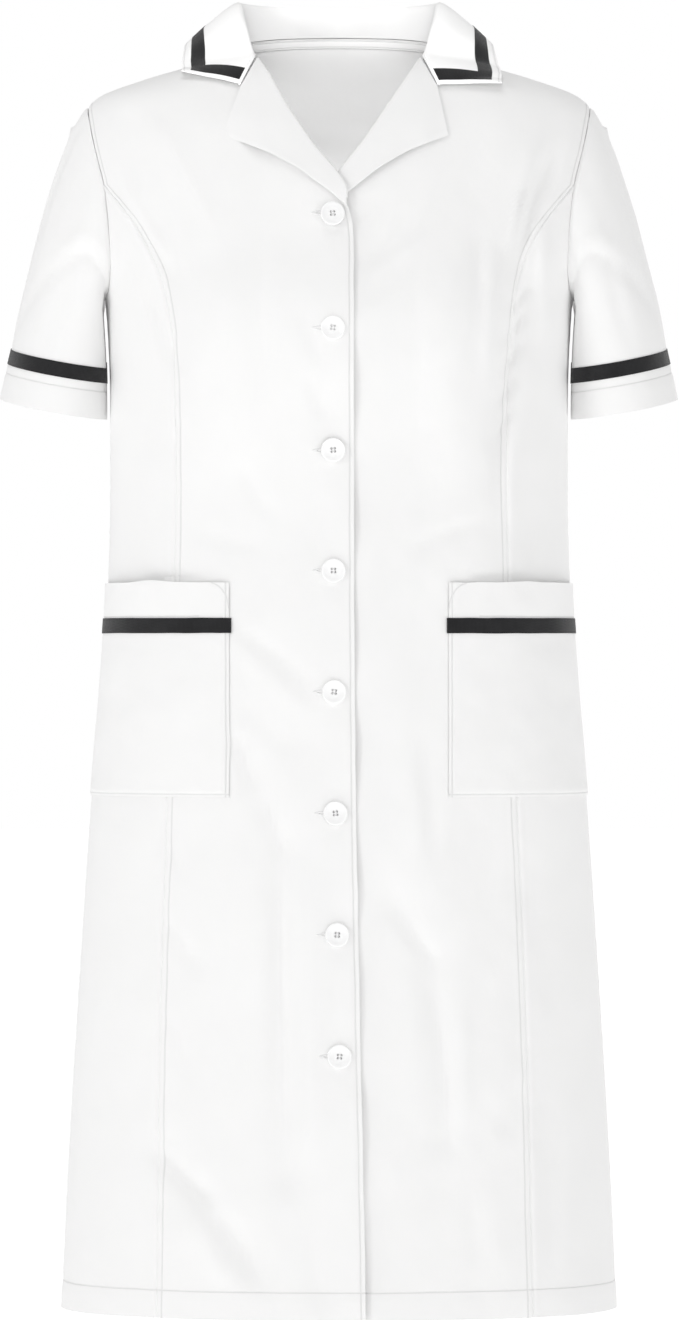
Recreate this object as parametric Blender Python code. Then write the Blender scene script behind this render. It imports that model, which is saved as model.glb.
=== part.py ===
"""A short-sleeved nurse's dress, filled out as if worn, with nobody inside it.

The dress hangs on a form: rings at named heights, worked out from the sizes of a
general figure with the dress's own ease. An angle of 0 is the centre front, +90 the
wearer's left side and 180 the centre back. Every cut piece is a wall on that form,
between its own seams. Tables are in millimetres, and the model is in metres.
The origin is midway between the neck ends of the shoulder seams, +Z is up, and the
front faces -Y.
"""

import math
from collections import namedtuple

import bmesh
import bpy
import numpy as np
from mathutils import Matrix, Vector
from mathutils.bvhtree import BVHTree

MM = 0.001

# Walls and gaps
CLOTH = 1.5  # wall of a cut piece
TAPE = 1.0  # wall of the black tape and the neck tape
SEAM_GAP = 0.3  # between two pieces that meet
LAY_GAP = 1.0  # from the form of a panel's outside to what lies on it

# Heights that the cut is drawn from
HEM_Z = -1005
BUST_ROW_Z = -240  # above it the rows turn up towards the armhole
BREAK_Z = -127  # where the lapel starts to roll, just above the top button
ARMPIT_Z = -200
TIP_Z = -47  # shoulder seam at the armhole
NECK_POINT_Z = 3  # shoulder seam at the neck
BACK_NECK_Z = 14

# Rows and columns of the cloth walls
SKIRT_ROWS = 12
BUST_ROWS = 4
ARMHOLE_STEPS = 6  # on each of the two front pieces, and twice that on the back
SHOULDER_STEPS = 6
FRONT_COLUMNS = 8
BACK_COLUMNS = 14

Section = namedtuple("Section", "z half_width front back front_power back_power")
FORM = [
    Section(-1005, 221, 138, 134, 0.94, 0.94),
    Section(-880, 215, 131, 128, 0.94, 0.94),
    Section(-740, 206.5, 125, 123, 0.93, 0.93),
    Section(-600, 197, 120, 118, 0.92, 0.92),
    Section(-500, 188.5, 117, 109, 0.91, 0.91),
    Section(-420, 183.5, 114, 99, 0.90, 0.90),
    Section(-360, 182, 112, 95, 0.89, 0.90),
    Section(-290, 182, 114, 98, 0.88, 0.90),
    Section(-225, 184, 116, 104, 0.88, 0.90),
    Section(-200, 186, 115, 106, 0.88, 0.90),
    Section(-150, 197, 110, 108, 0.88, 0.90),
    Section(-112, 203, 104, 106, 0.89, 0.90),
    Section(-80, 207, 96, 101, 0.90, 0.90),
    Section(-60, 205, 89, 95, 0.90, 0.90),
    Section(-47, 200, 83, 89, 0.90, 0.90),
    Section(-38, 190, 79, 85, 0.90, 0.90),
    Section(-25, 155, 73, 79, 0.90, 0.92),
    Section(-12, 112, 64, 72, 0.92, 0.94),
    Section(3, 80, 50, 64, 0.95, 0.96),
    Section(14, 72, 45, 60, 0.97, 0.97),
    Section(30, 68, 42, 57, 1.0, 1.0),
]

# Fullness over the bust, from the princess seams
BUST_X, BUST_Z = 88, -218
BUST_OUT = 15
BUST_SIDE, BUST_UP, BUST_DOWN = 40, 50, 95
BETWEEN = 0.8  # of the fullness, between the two sides of the bust

# The largest folds: troughs in the front and the back, along straight runs
Fold = namedtuple("Fold", "x_start z_start x_end z_end half_width depth")
FRONT_FOLDS = [
    Fold(-72, -560, -44, -632, 13, 2.5),
    Fold(-44, -632, -42, -890, 17, 4),
    Fold(40, -668, 71, -725, 16, 2.5),
    Fold(71, -725, 83, -860, 17, 3.5),
    Fold(-135, -871, -63, -966, 14, 3),
    Fold(176, -70, 136, -165, 13, 2.5),
    Fold(136, -165, 130, -310, 14, 3),
    Fold(-160, -60, -108, -170, 13, 2),
]
BACK_FOLDS = [
    Fold(-95, -560, -100, -880, 22, 4),
    Fold(20, -640, 28, -930, 24, 3.5),
    Fold(118, -520, 126, -900, 20, 4),
    Fold(-60, -360, 60, -352, 16, 2.5),
    Fold(120, -120, 70, -230, 16, 2),
    Fold(-120, -110, -75, -225, 16, 2),
]

# Armhole: an oval on the form, 0 at the shoulder tip and 180 at the armpit
FRONT_SWING, BACK_SWING = 25, 22
SWING_POWER = 0.8
PRINCESS_TURN = 80  # where the princess seam leaves the armhole

# Front edges: how far the lap crosses the centre, and how the skirt's lap swings
LAP = 12.3
BREAK_LAP = 6.2
Swing = namedtuple("Swing", "z out")
LAP_SWING = [Swing(-1005, 9), Swing(-850, 5.5), Swing(-700, 2.5), Swing(-550, 0.5), Swing(-150, -1)]
LAP_LIFT = 1.2  # the lap's top layer goes out by this, and its lower layer in
CROSSING_LIFT = 3.2  # where the top layer passes over the other lapel
LAP_FADE_X, LAP_FADE = 22, 55  # its own x where that starts to fade, and over how far
CROSSING_REACH, CROSSING_UP = 26, 8  # how far round the break, and how far above it
LAP_TURN = 35  # the lap's edge turns in to the break over this height

Seam = namedtuple("Seam", "z x")
PRINCESS = [
    Seam(-1005, 148),
    Seam(-757, 143.5),
    Seam(-608, 138),
    Seam(-422, 131.5),
    Seam(-347, 130.5),
    Seam(-283, 131),
    Seam(-226, 134),
    Seam(-180, 143),
    Seam(-145, 160),
]
PRINCESS_SWING = 0.3  # of the lap's swing, as both seams swing with it
PRINCESS_SHIFT = 2  # of both seams, to the wearer's left
PRINCESS_SWING_DEPTHS = (150, 230)  # below the origin, where that starts and is whole
# The roll line of a lapel, then the neck seam of the front as far as the shoulder
ROLL = [
    Seam(-127, -6.2),
    Seam(-118, -5),
    Seam(-104, 1.5),
    Seam(-84, 17),
    Seam(-62, 32),
    Seam(-38, 48),
    Seam(-12, 65),
]
ROLL_SKEW = 3.5  # the wearer's right rolls this much further out, half way up
FRONT_NECK = [Seam(-12, 65), Seam(-3, 77), Seam(3, 80)]

# Lapel: its notch and its point. The wearer's right and left differ a little.
NOTCH = Seam(-35, 77)
LAPEL_POINT = Seam(-75, 88.5)
LAPEL_POINT_SKEW = 3
LAPEL_HOLLOW = 7  # how far its outer edge rises over a straight line
LAPEL_COLUMNS, LAPEL_ROWS = 6, 8
LAPEL_LIFT = 2.05  # of its middle over the form
LAPEL_ROUND = 1.2  # it bellies out by this, halfway across

# Collar, on one side: u is 0 at the centre back and 1 at the front end
GORGE_U = 0.82  # where the neck seam turns out along the lapel's gorge
CollarRow = namedtuple("CollarRow", "u seam_angle ridge_x ridge_y ridge_z edge_x edge_y edge_z")
COLLAR = [
    CollarRow(0.0, 180, 0, 60, 37, 0, 80, -17),
    CollarRow(0.3, 135, 55, 42, 38.5, 80, 64, -10),
    CollarRow(0.55, 90, 78.5, 2, 38.4, 119, 10, 5),
    CollarRow(0.7, 53, 75, -31, 19, 124, -19, -4),
    CollarRow(0.82, 34, 65.5, -57, -10, 127, -38, -17),
    CollarRow(1.0, 22, 77, -70, -33, 127, -50, -29),
]
TIP_SKEW = 7  # the wearer's left tip is this much lower, and the right higher
FALL_BULGE = 2
STAND_FADE_U = 0.12  # before the gorge, the collar's stand falls away over this
BROW_OUT, BROW_DOWN = 5, 2.5  # how roundly the fall leaves the ridge
SEAM_RISE = CLOTH / 2 + SEAM_GAP + 0.6  # of the collar's lower edge over the neck seam
COLLAR_CLEAR = 2.9  # the fall stays this far above the form
COLLAR_COLUMNS = 26
TAPE_INSET, TAPE_WIDTH = 8, 12
TAPE_FRONT_INSET = 5  # from the collar's front edges

# Sleeves
SLEEVE_CENTRE = (227, 30, -286)
SLEEVE_HALF_WIDTH, SLEEVE_HALF_DEPTH = 44.7, 64
SLEEVE_TILT = 10  # of the hem, its outer end up
SLEEVE_BACK_TILT = 5  # of the hem, its front down
SLEEVE_TAPER = 2
SLEEVE_ROWS = 6
SLEEVE_TAPE_UP = 29
SLEEVE_CLEAR = 2.9  # of its middle from the form's middle
SLEEVE_HANG = 0.9  # how firmly the sleeve keeps to its hem's axis
SLEEVE_LEAVE = 0.55  # and to the way in which it leaves the armhole
CAP_OUT = 0.25  # how much of that way is straight out of the form, at the shoulder
CAP_DROP = 0.3  # and how far it drops there
SLEEVE_START = SEAM_GAP + 0.5  # from the form's armhole

# Patch pockets, from a line on the front to the side seam
POCKET_TOP_Z, POCKET_BOTTOM_Z = -427, -596
POCKET_INNER_X = 86
POCKET_OUTER_ANGLE = 87
POCKET_GAPE, POCKET_GAPE_DEPTH = 2.5, 60  # of the mouth, and how far down it reaches
POCKET_TAPE_DOWN = 28
POCKET_COLUMNS = 10

# Buttons
BUTTON_RADIUS, BUTTON_HEIGHT, BUTTON_RIM = 9.5, 3.0, 1.6
BUTTON_IN = 16.2  # from the lap's edge
TOP_BUTTON_Z, SECOND_BUTTON_Z, BUTTON_PITCH, BUTTONS = -138.5, -227.5, 95.2, 8
BUTTON_SIDES = 20

NECK_TAPE_WIDTH = 6.5

WHITE = (0.93, 0.93, 0.93, 1)
BLACK = (0.012, 0.012, 0.014, 1)
BUTTON_WHITE = (0.95, 0.95, 0.94, 1)


# ---- the form ----


def column_at(table, name, z, key="z"):
    """A named column of a table at z, on a smooth curve through its rows."""
    rows = sorted(table, key=lambda row: getattr(row, key))
    keys = np.array([getattr(row, key) for row in rows], float)
    values = np.array([getattr(row, name) for row in rows], float)
    steps = np.diff(values) / np.diff(keys)
    slopes = np.gradient(values, keys)
    for i, (before, after) in enumerate(zip(steps[:-1], steps[1:], strict=True), start=1):
        most = 2.5 * min(abs(before), abs(after))
        slopes[i] = 0 if before * after <= 0 else math.copysign(min(abs(slopes[i]), most), before)
    at = np.clip(np.asarray(z, float), keys[0], keys[-1])
    i = np.clip(np.searchsorted(keys, at) - 1, 0, len(keys) - 2)
    length = keys[i + 1] - keys[i]
    t = (at - keys[i]) / length
    low, high = values[i], values[i + 1]
    return (
        low * (1 + 2 * t) * (1 - t) ** 2
        + high * t * t * (3 - 2 * t)
        + length * (slopes[i] * t * (1 - t) ** 2 - slopes[i + 1] * t * t * (1 - t))
    )


def smooth(value, start, end):
    """0 before start, 1 after end, and an easy curve between."""
    share = np.clip((value - start) / (end - start), 0, 1)
    return share * share * (3 - 2 * share)


def trough(folds, x, z):
    """How deep the folds are at x and z."""
    deep = np.zeros(np.broadcast(x, z).shape)
    for fold in folds:
        run = np.array([fold.x_end - fold.x_start, fold.z_end - fold.z_start])
        share = ((x - fold.x_start) * run[0] + (z - fold.z_start) * run[1]) / (run @ run)
        on = np.clip(share, 0, 1)
        away = np.hypot(x - fold.x_start - on * run[0], z - fold.z_start - on * run[1])
        deep = np.maximum(deep, fold.depth * np.exp(-((away / fold.half_width) ** 2)))
    return deep


def form_point(angle, z):
    """The form's point at an angle and a height."""
    turn = np.radians(np.asarray(angle, float))
    z = np.asarray(z, float)
    sine, cosine = np.sin(turn), np.cos(turn)
    is_front = cosine >= 0
    power = np.where(
        is_front, column_at(FORM, "front_power", z), column_at(FORM, "back_power", z)
    )
    depth = np.where(is_front, column_at(FORM, "front", z), column_at(FORM, "back", z))
    x = column_at(FORM, "half_width", z) * np.sign(sine) * np.abs(sine) ** power
    y = -depth * np.sign(cosine) * np.abs(cosine) ** power
    spread = np.where(z > BUST_Z, BUST_UP, BUST_DOWN)
    cup = np.exp(-(((np.abs(x) - BUST_X) / BUST_SIDE) ** 2) - ((z - BUST_Z) / spread) ** 2)
    between = np.exp(-((x / BUST_X) ** 4) - ((z - BUST_Z) / spread) ** 2)
    full = BUST_OUT * np.maximum(cup, BETWEEN * between) * np.abs(cosine)
    y = np.where(is_front, y - full, y)
    flat = np.clip(np.abs(cosine) * 2.5, 0, 1)
    y = y + flat * np.where(is_front, trough(FRONT_FOLDS, x, z), -trough(BACK_FOLDS, x, z))
    return np.stack([x, y, z * np.ones_like(x)], axis=-1)


def form_normal(angle, z):
    """The direction straight out of the form there."""
    angle, z = np.asarray(angle, float), np.asarray(z, float)
    around = form_point(angle + 0.6, z) - form_point(angle - 0.6, z)
    up = form_point(angle, z + 0.6) - form_point(angle, z - 0.6)
    out = np.cross(around, up)
    return out / np.linalg.norm(out, axis=-1, keepdims=True)


def angle_of(x, z):
    """The front angle at which the form is x from the centre, at height z."""
    share = np.abs(np.asarray(x, float)) / column_at(FORM, "half_width", z)
    power = column_at(FORM, "front_power", z)
    return np.sign(x) * np.degrees(np.arcsin(np.clip(share, 0, 1) ** (1 / power)))


def seam_line(table, zs):
    """(angle, z) along a seam that a table gives by its distance from the centre."""
    xs = column_at(table, "x", zs)
    return np.stack([angle_of(xs, zs), np.asarray(zs, float)], axis=-1)


def armhole(turns, swing):
    """(angle, z) on the armhole. A positive swing is its front half."""
    turns = np.radians(np.asarray(turns, float))
    middle, half = (TIP_Z + ARMPIT_Z) / 2, (TIP_Z - ARMPIT_Z) / 2
    across = np.abs(np.sin(turns)) ** SWING_POWER
    return np.stack([90 - swing * across, middle + half * np.cos(turns)], axis=-1)


def clear_of_form(points, least):
    """The points, each moved straight out where it is nearer to the form than least."""
    angles, zs = np.meshgrid(np.arange(0, 360, 2.0), np.arange(-330, 30, 3.0))
    middle, half = (TIP_Z + ARMPIT_Z) / 2, (TIP_Z - ARMPIT_Z) / 2
    across = np.abs(90 - np.abs((angles + 180) % 360 - 180)) / BACK_SWING
    is_cloth = np.hypot(across, (zs - middle) / half) > 0.97
    on_form = form_point(angles, zs)[is_cloth]
    out = form_normal(angles, zs)[is_cloth]
    moved = np.array(points, float)
    flat = moved.reshape(-1, 3)
    for i, point in enumerate(flat):
        near = int(((on_form - point) ** 2).sum(axis=1).argmin())
        away = float((point - on_form[near]) @ out[near])
        if away < least:
            flat[i] = point + out[near] * (least - away)
    return moved


# ---- walls ----


def unit(vectors):
    return vectors / np.maximum(np.linalg.norm(vectors, axis=-1, keepdims=True), 1e-9)


def grid_normals(points, closed=False):
    """Normals of a grid of points, rows by columns."""
    if closed:
        across = np.roll(points, -1, axis=1) - np.roll(points, 1, axis=1)
    else:
        across = np.gradient(points, axis=1)
    return unit(np.cross(across, np.gradient(points, axis=0)))


def pulled_in(points, normals, sides):
    """The grid with its named sides drawn back, square to their seams."""
    moved = points.copy()
    for side in sides:
        here, beside = (0, 1) if side == "first" else (-1, -2)
        grid, outs, changed = (
            (array if side == "top" else array.swapaxes(0, 1))
            for array in (points, normals, moved)
        )
        square = unit(np.cross(np.gradient(grid[here], axis=0), outs[here]))
        inward = np.sign((square * (grid[beside] - grid[here])).sum(axis=-1, keepdims=True))
        changed[here] += SEAM_GAP / 2 * inward * square
    return moved


def coons(bottom, top, first, last, fade):
    """Points between four border lines. The top's shape fades out over that many rows."""
    rows, columns = len(first) - 1, len(top) - 1
    made = np.zeros((rows + 1, columns + 1, 2))
    across = np.linspace(0, 1, columns + 1)[:, None]
    for row in range(rows + 1):
        share = min(max((row - (rows - fade)) / fade, 0), 1)
        share = share * share * (3 - 2 * share)
        straight = first[row] * (1 - across) + last[row] * across
        top_bend = top - (top[0] * (1 - across) + top[-1] * across)
        bottom_bend = bottom - (bottom[0] * (1 - across) + bottom[-1] * across)
        made[row] = straight + share * top_bend + max(0, 1 - row / fade) * bottom_bend
    return made


def wall(name, points, normals, thickness, slot, closed=False, cells=None):
    """A named solid: the grid, made thick on both sides. A closed grid is a tube.
    cells, if given, is which (row, column) cells of the grid to keep."""
    rows, columns = points.shape[:2]
    last = columns if closed else columns - 1
    if cells is None:
        cells = [(row, column) for row in range(rows - 1) for column in range(last)]
    triangles = []
    for row, column in cells:
        beside = (column + 1) % columns
        a, b = row * columns + column, row * columns + beside
        c, d = a + columns, b + columns
        triangles += [(a, b, d), (a, d, c)]
    sides = {pair for a, b, c in triangles for pair in ((a, b), (b, c), (c, a))}
    mesh = bmesh.new()
    used = sorted({corner for triangle in triangles for corner in triangle})
    skins = []
    for out in (thickness / 2, -thickness / 2):
        skin = (points + normals * out).reshape(-1, 3) * MM
        skins.append({corner: mesh.verts.new(skin[corner]) for corner in used})
    outer, inner = skins
    for triangle in triangles:
        mesh.faces.new([outer[corner] for corner in triangle])
        mesh.faces.new([inner[corner] for corner in reversed(triangle)])
    for a, b in sorted(sides):
        if (b, a) not in sides:
            mesh.faces.new([outer[b], outer[a], inner[b]])
            mesh.faces.new([outer[a], inner[a], inner[b]])
    bmesh.ops.recalc_face_normals(mesh, faces=mesh.faces)
    return node(name, mesh, slot)


def node(name, mesh, slot):
    """A named object from a bmesh, with its material."""
    data = bpy.data.meshes.new(name)
    mesh.to_mesh(data)
    mesh.free()
    made = bpy.data.objects.new(name, data)
    bpy.context.scene.collection.objects.link(made)
    data.materials.append(slot)
    data.shade_smooth()
    data.set_sharp_from_angle(angle=math.radians(40))
    return made


def material(name, colour, roughness):
    made = bpy.data.materials.new(name)
    made.use_nodes = True
    shader = made.node_tree.nodes["Principled BSDF"]
    shader.inputs["Base Color"].default_value = colour
    shader.inputs["Roughness"].default_value = roughness
    shader.inputs["Metallic"].default_value = 0
    return made


def side_name(side):
    return "left" if side > 0 else "right"


def on_side(places, side):
    """(angle, z) places, on the wearer's left (+1) or right (-1)."""
    return places * np.array([side, 1])


def facing_out(points, normals, side):
    """A grid and its normals, turned so that a mirrored piece is still drawn outwards."""
    return (points, normals) if side > 0 else (points[:, ::-1], normals[:, ::-1])


# ---- seams that several pieces share ----

SKIRT_ZS = np.linspace(HEM_Z, BUST_ROW_Z, SKIRT_ROWS + 1)
JUNCTION = armhole(PRINCESS_TURN, FRONT_SWING)
JUNCTION_X = float(form_point(JUNCTION[0], JUNCTION[1])[0])


def princess_line(side):
    """Hem to armhole."""
    table = PRINCESS + [Seam(float(JUNCTION[1]), JUNCTION_X)]
    upper = np.linspace(BUST_ROW_Z, JUNCTION[1], BUST_ROWS + 1)[1:]
    zs = np.concatenate([SKIRT_ZS, upper])
    swing = PRINCESS_SHIFT + PRINCESS_SWING * column_at(LAP_SWING, "out", zs)
    xs = column_at(table, "x", zs) + side * swing * smooth(-zs, *PRINCESS_SWING_DEPTHS)
    return np.stack([angle_of(xs, zs), zs], axis=-1)


def side_line():
    """Hem to armpit."""
    zs = np.concatenate([SKIRT_ZS, np.linspace(BUST_ROW_Z, ARMPIT_Z, BUST_ROWS + 1)[1:]])
    return np.stack([np.full(len(zs), 90.0), zs], axis=-1)


def shoulder_line(steps):
    """Armhole to neck, in even steps along the ridge."""
    zs = np.linspace(TIP_Z, NECK_POINT_Z, 200)
    widths = column_at(FORM, "half_width", zs)
    even = np.linspace(widths[0], widths[-1], steps + 1)
    return np.stack([np.full(steps + 1, 90.0), np.interp(-even, -widths, zs)], axis=-1)


def back_neck(angles):
    """Heights of the back's neck seam, from 90 at one shoulder to 270 at the other."""
    rise = np.clip(np.sin(np.radians(np.asarray(angles, float) - 90)), 0, 1) ** 0.8
    return NECK_POINT_Z + (BACK_NECK_Z - NECK_POINT_Z) * rise


def front_neck(angle):
    """The height of the front's neck seam at an angle, from its shoulder to the gorge."""
    zs = np.linspace(FRONT_NECK[0].z, NECK_POINT_Z - 0.01, 60)
    angles = seam_line(FRONT_NECK, zs)[:, 0]
    return float(np.interp(angle, angles, zs))


def lap_edge(zs, side):
    """How far past the centre a front reaches, as its own x."""
    out = column_at(LAP_SWING, "out", zs)
    top = np.clip((np.asarray(zs) - BREAK_Z + LAP_TURN) / LAP_TURN, 0, 1) ** 2
    return -(LAP - side * out) + (LAP - BREAK_LAP) * top


def roll_x(zs, side):
    """How far from the centre a lapel rolls, as its own x."""
    middle = smooth(zs, -122, -95) * (1 - smooth(zs, -60, -20))
    return column_at(ROLL, "x", zs) + (ROLL_SKEW if side < 0 else 0) * middle


def front_edge(side):
    """Hem to the neck end of the shoulder: the lap, the roll line and the neck seam."""
    lap_zs = np.concatenate([SKIRT_ZS, np.linspace(BUST_ROW_Z, BREAK_Z, BUST_ROWS + 1)[1:]])
    lap = np.stack([angle_of(lap_edge(lap_zs, side), lap_zs), lap_zs], axis=-1)
    roll_zs = np.linspace(BREAK_Z, ROLL[-1].z, ARMHOLE_STEPS - 1)[1:]
    roll = np.stack([angle_of(roll_x(roll_zs, side), roll_zs), roll_zs], axis=-1)
    neck = seam_line(FRONT_NECK, np.linspace(FRONT_NECK[0].z, NECK_POINT_Z, 3)[1:])
    neck[-1] = (90, NECK_POINT_Z)
    return np.concatenate([lap, roll, neck])


def lap_lift(points, side):
    """How far a front stands off the form where the two fronts lap."""
    own_x = points[..., 0] * side
    lap = 1 - smooth(own_x, LAP_FADE_X, LAP_FADE_X + LAP_FADE)
    across = points[..., 0] / CROSSING_REACH
    along = (points[..., 2] - BREAK_Z - CROSSING_UP) / CROSSING_REACH
    extra = (CROSSING_LIFT if side < 0 else 0) * np.exp(-(across**2) - along**2)
    return -side * LAP_LIFT * lap + extra


# ---- the cut pieces ----


def front(side, slot):
    first = front_edge(side)
    turns = np.linspace(PRINCESS_TURN, 0, ARMHOLE_STEPS + 1)[1:]
    last = np.concatenate([princess_line(side), armhole(turns, FRONT_SWING)])
    across = np.linspace(0, 1, FRONT_COLUMNS + 1)[:, None]
    bottom = first[0] * (1 - across) + last[0] * across
    top = shoulder_line(FRONT_COLUMNS)[::-1]
    places = on_side(coons(bottom, top, first, last, BUST_ROWS), side)
    points = form_point(places[..., 0], places[..., 1])
    normals = form_normal(places[..., 0], places[..., 1])
    points = points + normals * lap_lift(points, side)[..., None]
    points = pulled_in(points, normals, ("last", "top"))
    wall(f"front_{side_name(side)}", *facing_out(points, normals, side), CLOTH, slot)


def side_front(side, slot):
    across = np.linspace(0, 1, ARMHOLE_STEPS + 1)[:, None]
    first, last = princess_line(side), side_line()
    bottom = first[0] * (1 - across) + last[0] * across
    top = armhole(np.linspace(PRINCESS_TURN, 180, ARMHOLE_STEPS + 1), FRONT_SWING)
    places = on_side(coons(bottom, top, first, last, BUST_ROWS), side)
    points = form_point(places[..., 0], places[..., 1])
    normals = form_normal(places[..., 0], places[..., 1])
    points = pulled_in(points, normals, ("first", "last"))
    wall(f"side_front_{side_name(side)}", *facing_out(points, normals, side), CLOTH, slot)


def back_places():
    turns = np.linspace(180, 0, 2 * ARMHOLE_STEPS + 1)[1:]
    first = np.concatenate([side_line(), armhole(turns, -BACK_SWING), shoulder_line(SHOULDER_STEPS)[1:]])
    last = np.stack([360 - first[:, 0], first[:, 1]], axis=-1)
    angles = np.linspace(90, 270, BACK_COLUMNS + 1)
    top = np.stack([angles, back_neck(angles)], axis=-1)
    bottom = np.stack([angles, np.full(len(angles), HEM_Z)], axis=-1)
    return coons(bottom, top, first, last, SHOULDER_STEPS)


def back(slot):
    places = back_places()
    points = form_point(places[..., 0], places[..., 1])
    normals = form_normal(places[..., 0], places[..., 1])
    points = pulled_in(points, normals, ("first", "last"))
    wall("back", points, normals, CLOTH, slot)


def neck_tape(slot):
    """The strip that covers the neck seam inside the back."""
    places = back_places()[-2:, 1:-1]
    points = form_point(places[..., 0], places[..., 1])
    normals = form_normal(places[..., 0], places[..., 1])
    drop = np.linalg.norm(points[1] - points[0], axis=-1, keepdims=True)
    low = points[1] + (points[0] - points[1]) * (NECK_TAPE_WIDTH / drop)
    strip = np.stack([low, points[1]])
    inward = (CLOTH + TAPE) / 2 + SEAM_GAP + 0.5
    wall("neck_tape", strip - normals * inward, normals, TAPE, slot)


# ---- sleeves ----


def sleeve_grid(side):
    """(points, normals) of a sleeve, from the hem up to the armhole, round from the top."""
    front_turns = np.concatenate(
        [
            np.linspace(0, PRINCESS_TURN, ARMHOLE_STEPS + 1)[:-1],
            np.linspace(PRINCESS_TURN, 180, ARMHOLE_STEPS + 1)[:-1],
        ]
    )
    back_turns = np.linspace(180, 0, 2 * ARMHOLE_STEPS + 1)[:-1]
    places = np.concatenate(
        [armhole(front_turns, FRONT_SWING), armhole(back_turns, -BACK_SWING)]
    )
    turns = np.radians(np.concatenate([front_turns, 360 - back_turns]))
    ring = form_point(places[:, 0], places[:, 1])
    out = form_normal(places[:, 0], places[:, 1])
    inwards = unit(np.cross(out, np.roll(ring, -1, axis=0) - np.roll(ring, 1, axis=0)))
    tilt, back_tilt = math.radians(SLEEVE_TILT), math.radians(SLEEVE_BACK_TILT)
    axis = unit(np.array([math.sin(tilt), math.sin(back_tilt), -math.cos(tilt)]))
    wide = unit(np.array([math.cos(tilt), 0, math.sin(tilt)]))
    deep = np.cross(axis, wide)
    deep = deep if deep[1] > 0 else -deep
    centre = np.array(SLEEVE_CENTRE, float)

    def oval(up):
        taper = SLEEVE_TAPER * up / (SLEEVE_TAPE_UP + TAPE_WIDTH)
        return (
            centre
            - axis * up
            + np.outer(np.cos(turns), wide) * (SLEEVE_HALF_WIDTH - taper)
            - np.outer(np.sin(turns), deep) * (SLEEVE_HALF_DEPTH - taper / 2)
        )

    cuff = [oval(0), oval(SLEEVE_TAPE_UP), oval(SLEEVE_TAPE_UP + TAPE_WIDTH)]
    top = cuff[-1]
    reach = np.linalg.norm(ring - top, axis=1, keepdims=True)
    drop = 0.5 - 0.5 * np.cos(turns)[:, None]
    cap = inwards - [0, 0, CAP_DROP]
    leave = unit(out * (CAP_OUT + (1 - CAP_OUT) * drop) + cap * (1 - drop))
    across = np.abs((leave * inwards).sum(axis=1, keepdims=True))
    start = ring + inwards * (SLEEVE_START + CLOTH / 2 * np.sqrt(1 - across**2))
    start = start + out * SEAM_GAP
    rows = []
    for t in np.linspace(0, 1, SLEEVE_ROWS + 1)[1:]:
        rows.append(
            top * (1 + 2 * t) * (1 - t) ** 2
            + start * t * t * (3 - 2 * t)
            - axis * reach * SLEEVE_HANG * t * (1 - t) ** 2
            + leave * reach * SLEEVE_LEAVE * t * t * (1 - t)
        )
    points = np.array(cuff + rows)
    points[..., 0] *= side
    points[:4] = clear_of_form(points[:4], SLEEVE_CLEAR + TAPE + SEAM_GAP)
    points[4:-2] = clear_of_form(points[4:-2], SLEEVE_CLEAR)
    normals = grid_normals(points, closed=True)
    outside = ((points - points.mean(axis=1, keepdims=True)) * normals).sum() > 0
    return points, normals if outside else -normals


def sleeve(side, slot, tape_slot):
    points, normals = sleeve_grid(side)
    wall(f"sleeve_{side_name(side)}", points, normals, CLOTH, slot, closed=True)
    out = (CLOTH + TAPE) / 2 + SEAM_GAP
    band, band_normals = points[1:3], normals[1:3]
    name = f"sleeve_tape_{side_name(side)}"
    wall(name, band + band_normals * out, band_normals, TAPE, tape_slot, closed=True)


# ---- collar and lapels ----


def spline(points, share):
    """Points along a smooth curve through the given ones, at shares of its length."""
    points = np.asarray(points, float)
    chords = np.linalg.norm(np.diff(points, axis=0), axis=1)
    at = np.concatenate([[0], np.cumsum(chords)])
    slopes = np.gradient(points, at, axis=0)
    fine = np.linspace(0, at[-1], 160)
    i = np.clip(np.searchsorted(at, fine) - 1, 0, len(at) - 2)
    h = (at[i + 1] - at[i])[:, None]
    t = (fine - at[i])[:, None] / h
    line = (
        points[i] * (1 + 2 * t) * (1 - t) ** 2
        + points[i + 1] * t * t * (3 - 2 * t)
        + h * (slopes[i] * t * (1 - t) ** 2 - slopes[i + 1] * t * t * (1 - t))
    )
    return at_shares(line, share)


def at_shares(line, share):
    """Points of a polyline at shares of its length."""
    steps = np.linalg.norm(np.diff(line, axis=0), axis=1)
    along = np.concatenate([[0], np.cumsum(steps)])
    want = np.asarray(share) * along[-1]
    return np.stack([np.interp(want, along, line[:, k]) for k in range(3)], axis=1)


def insets(length, count, inset):
    """Distances from an edge: the edge, both sides of its tape, then even steps."""
    rest = np.linspace(inset + TAPE_WIDTH, length, count - 1)
    return np.concatenate([[0, inset], rest])


def on_front(x, z, lift):
    """A point of the front at x and z, lifted off the form."""
    angle = angle_of(x, z)
    return form_point(angle, z) + lift * form_normal(angle, z)


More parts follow.
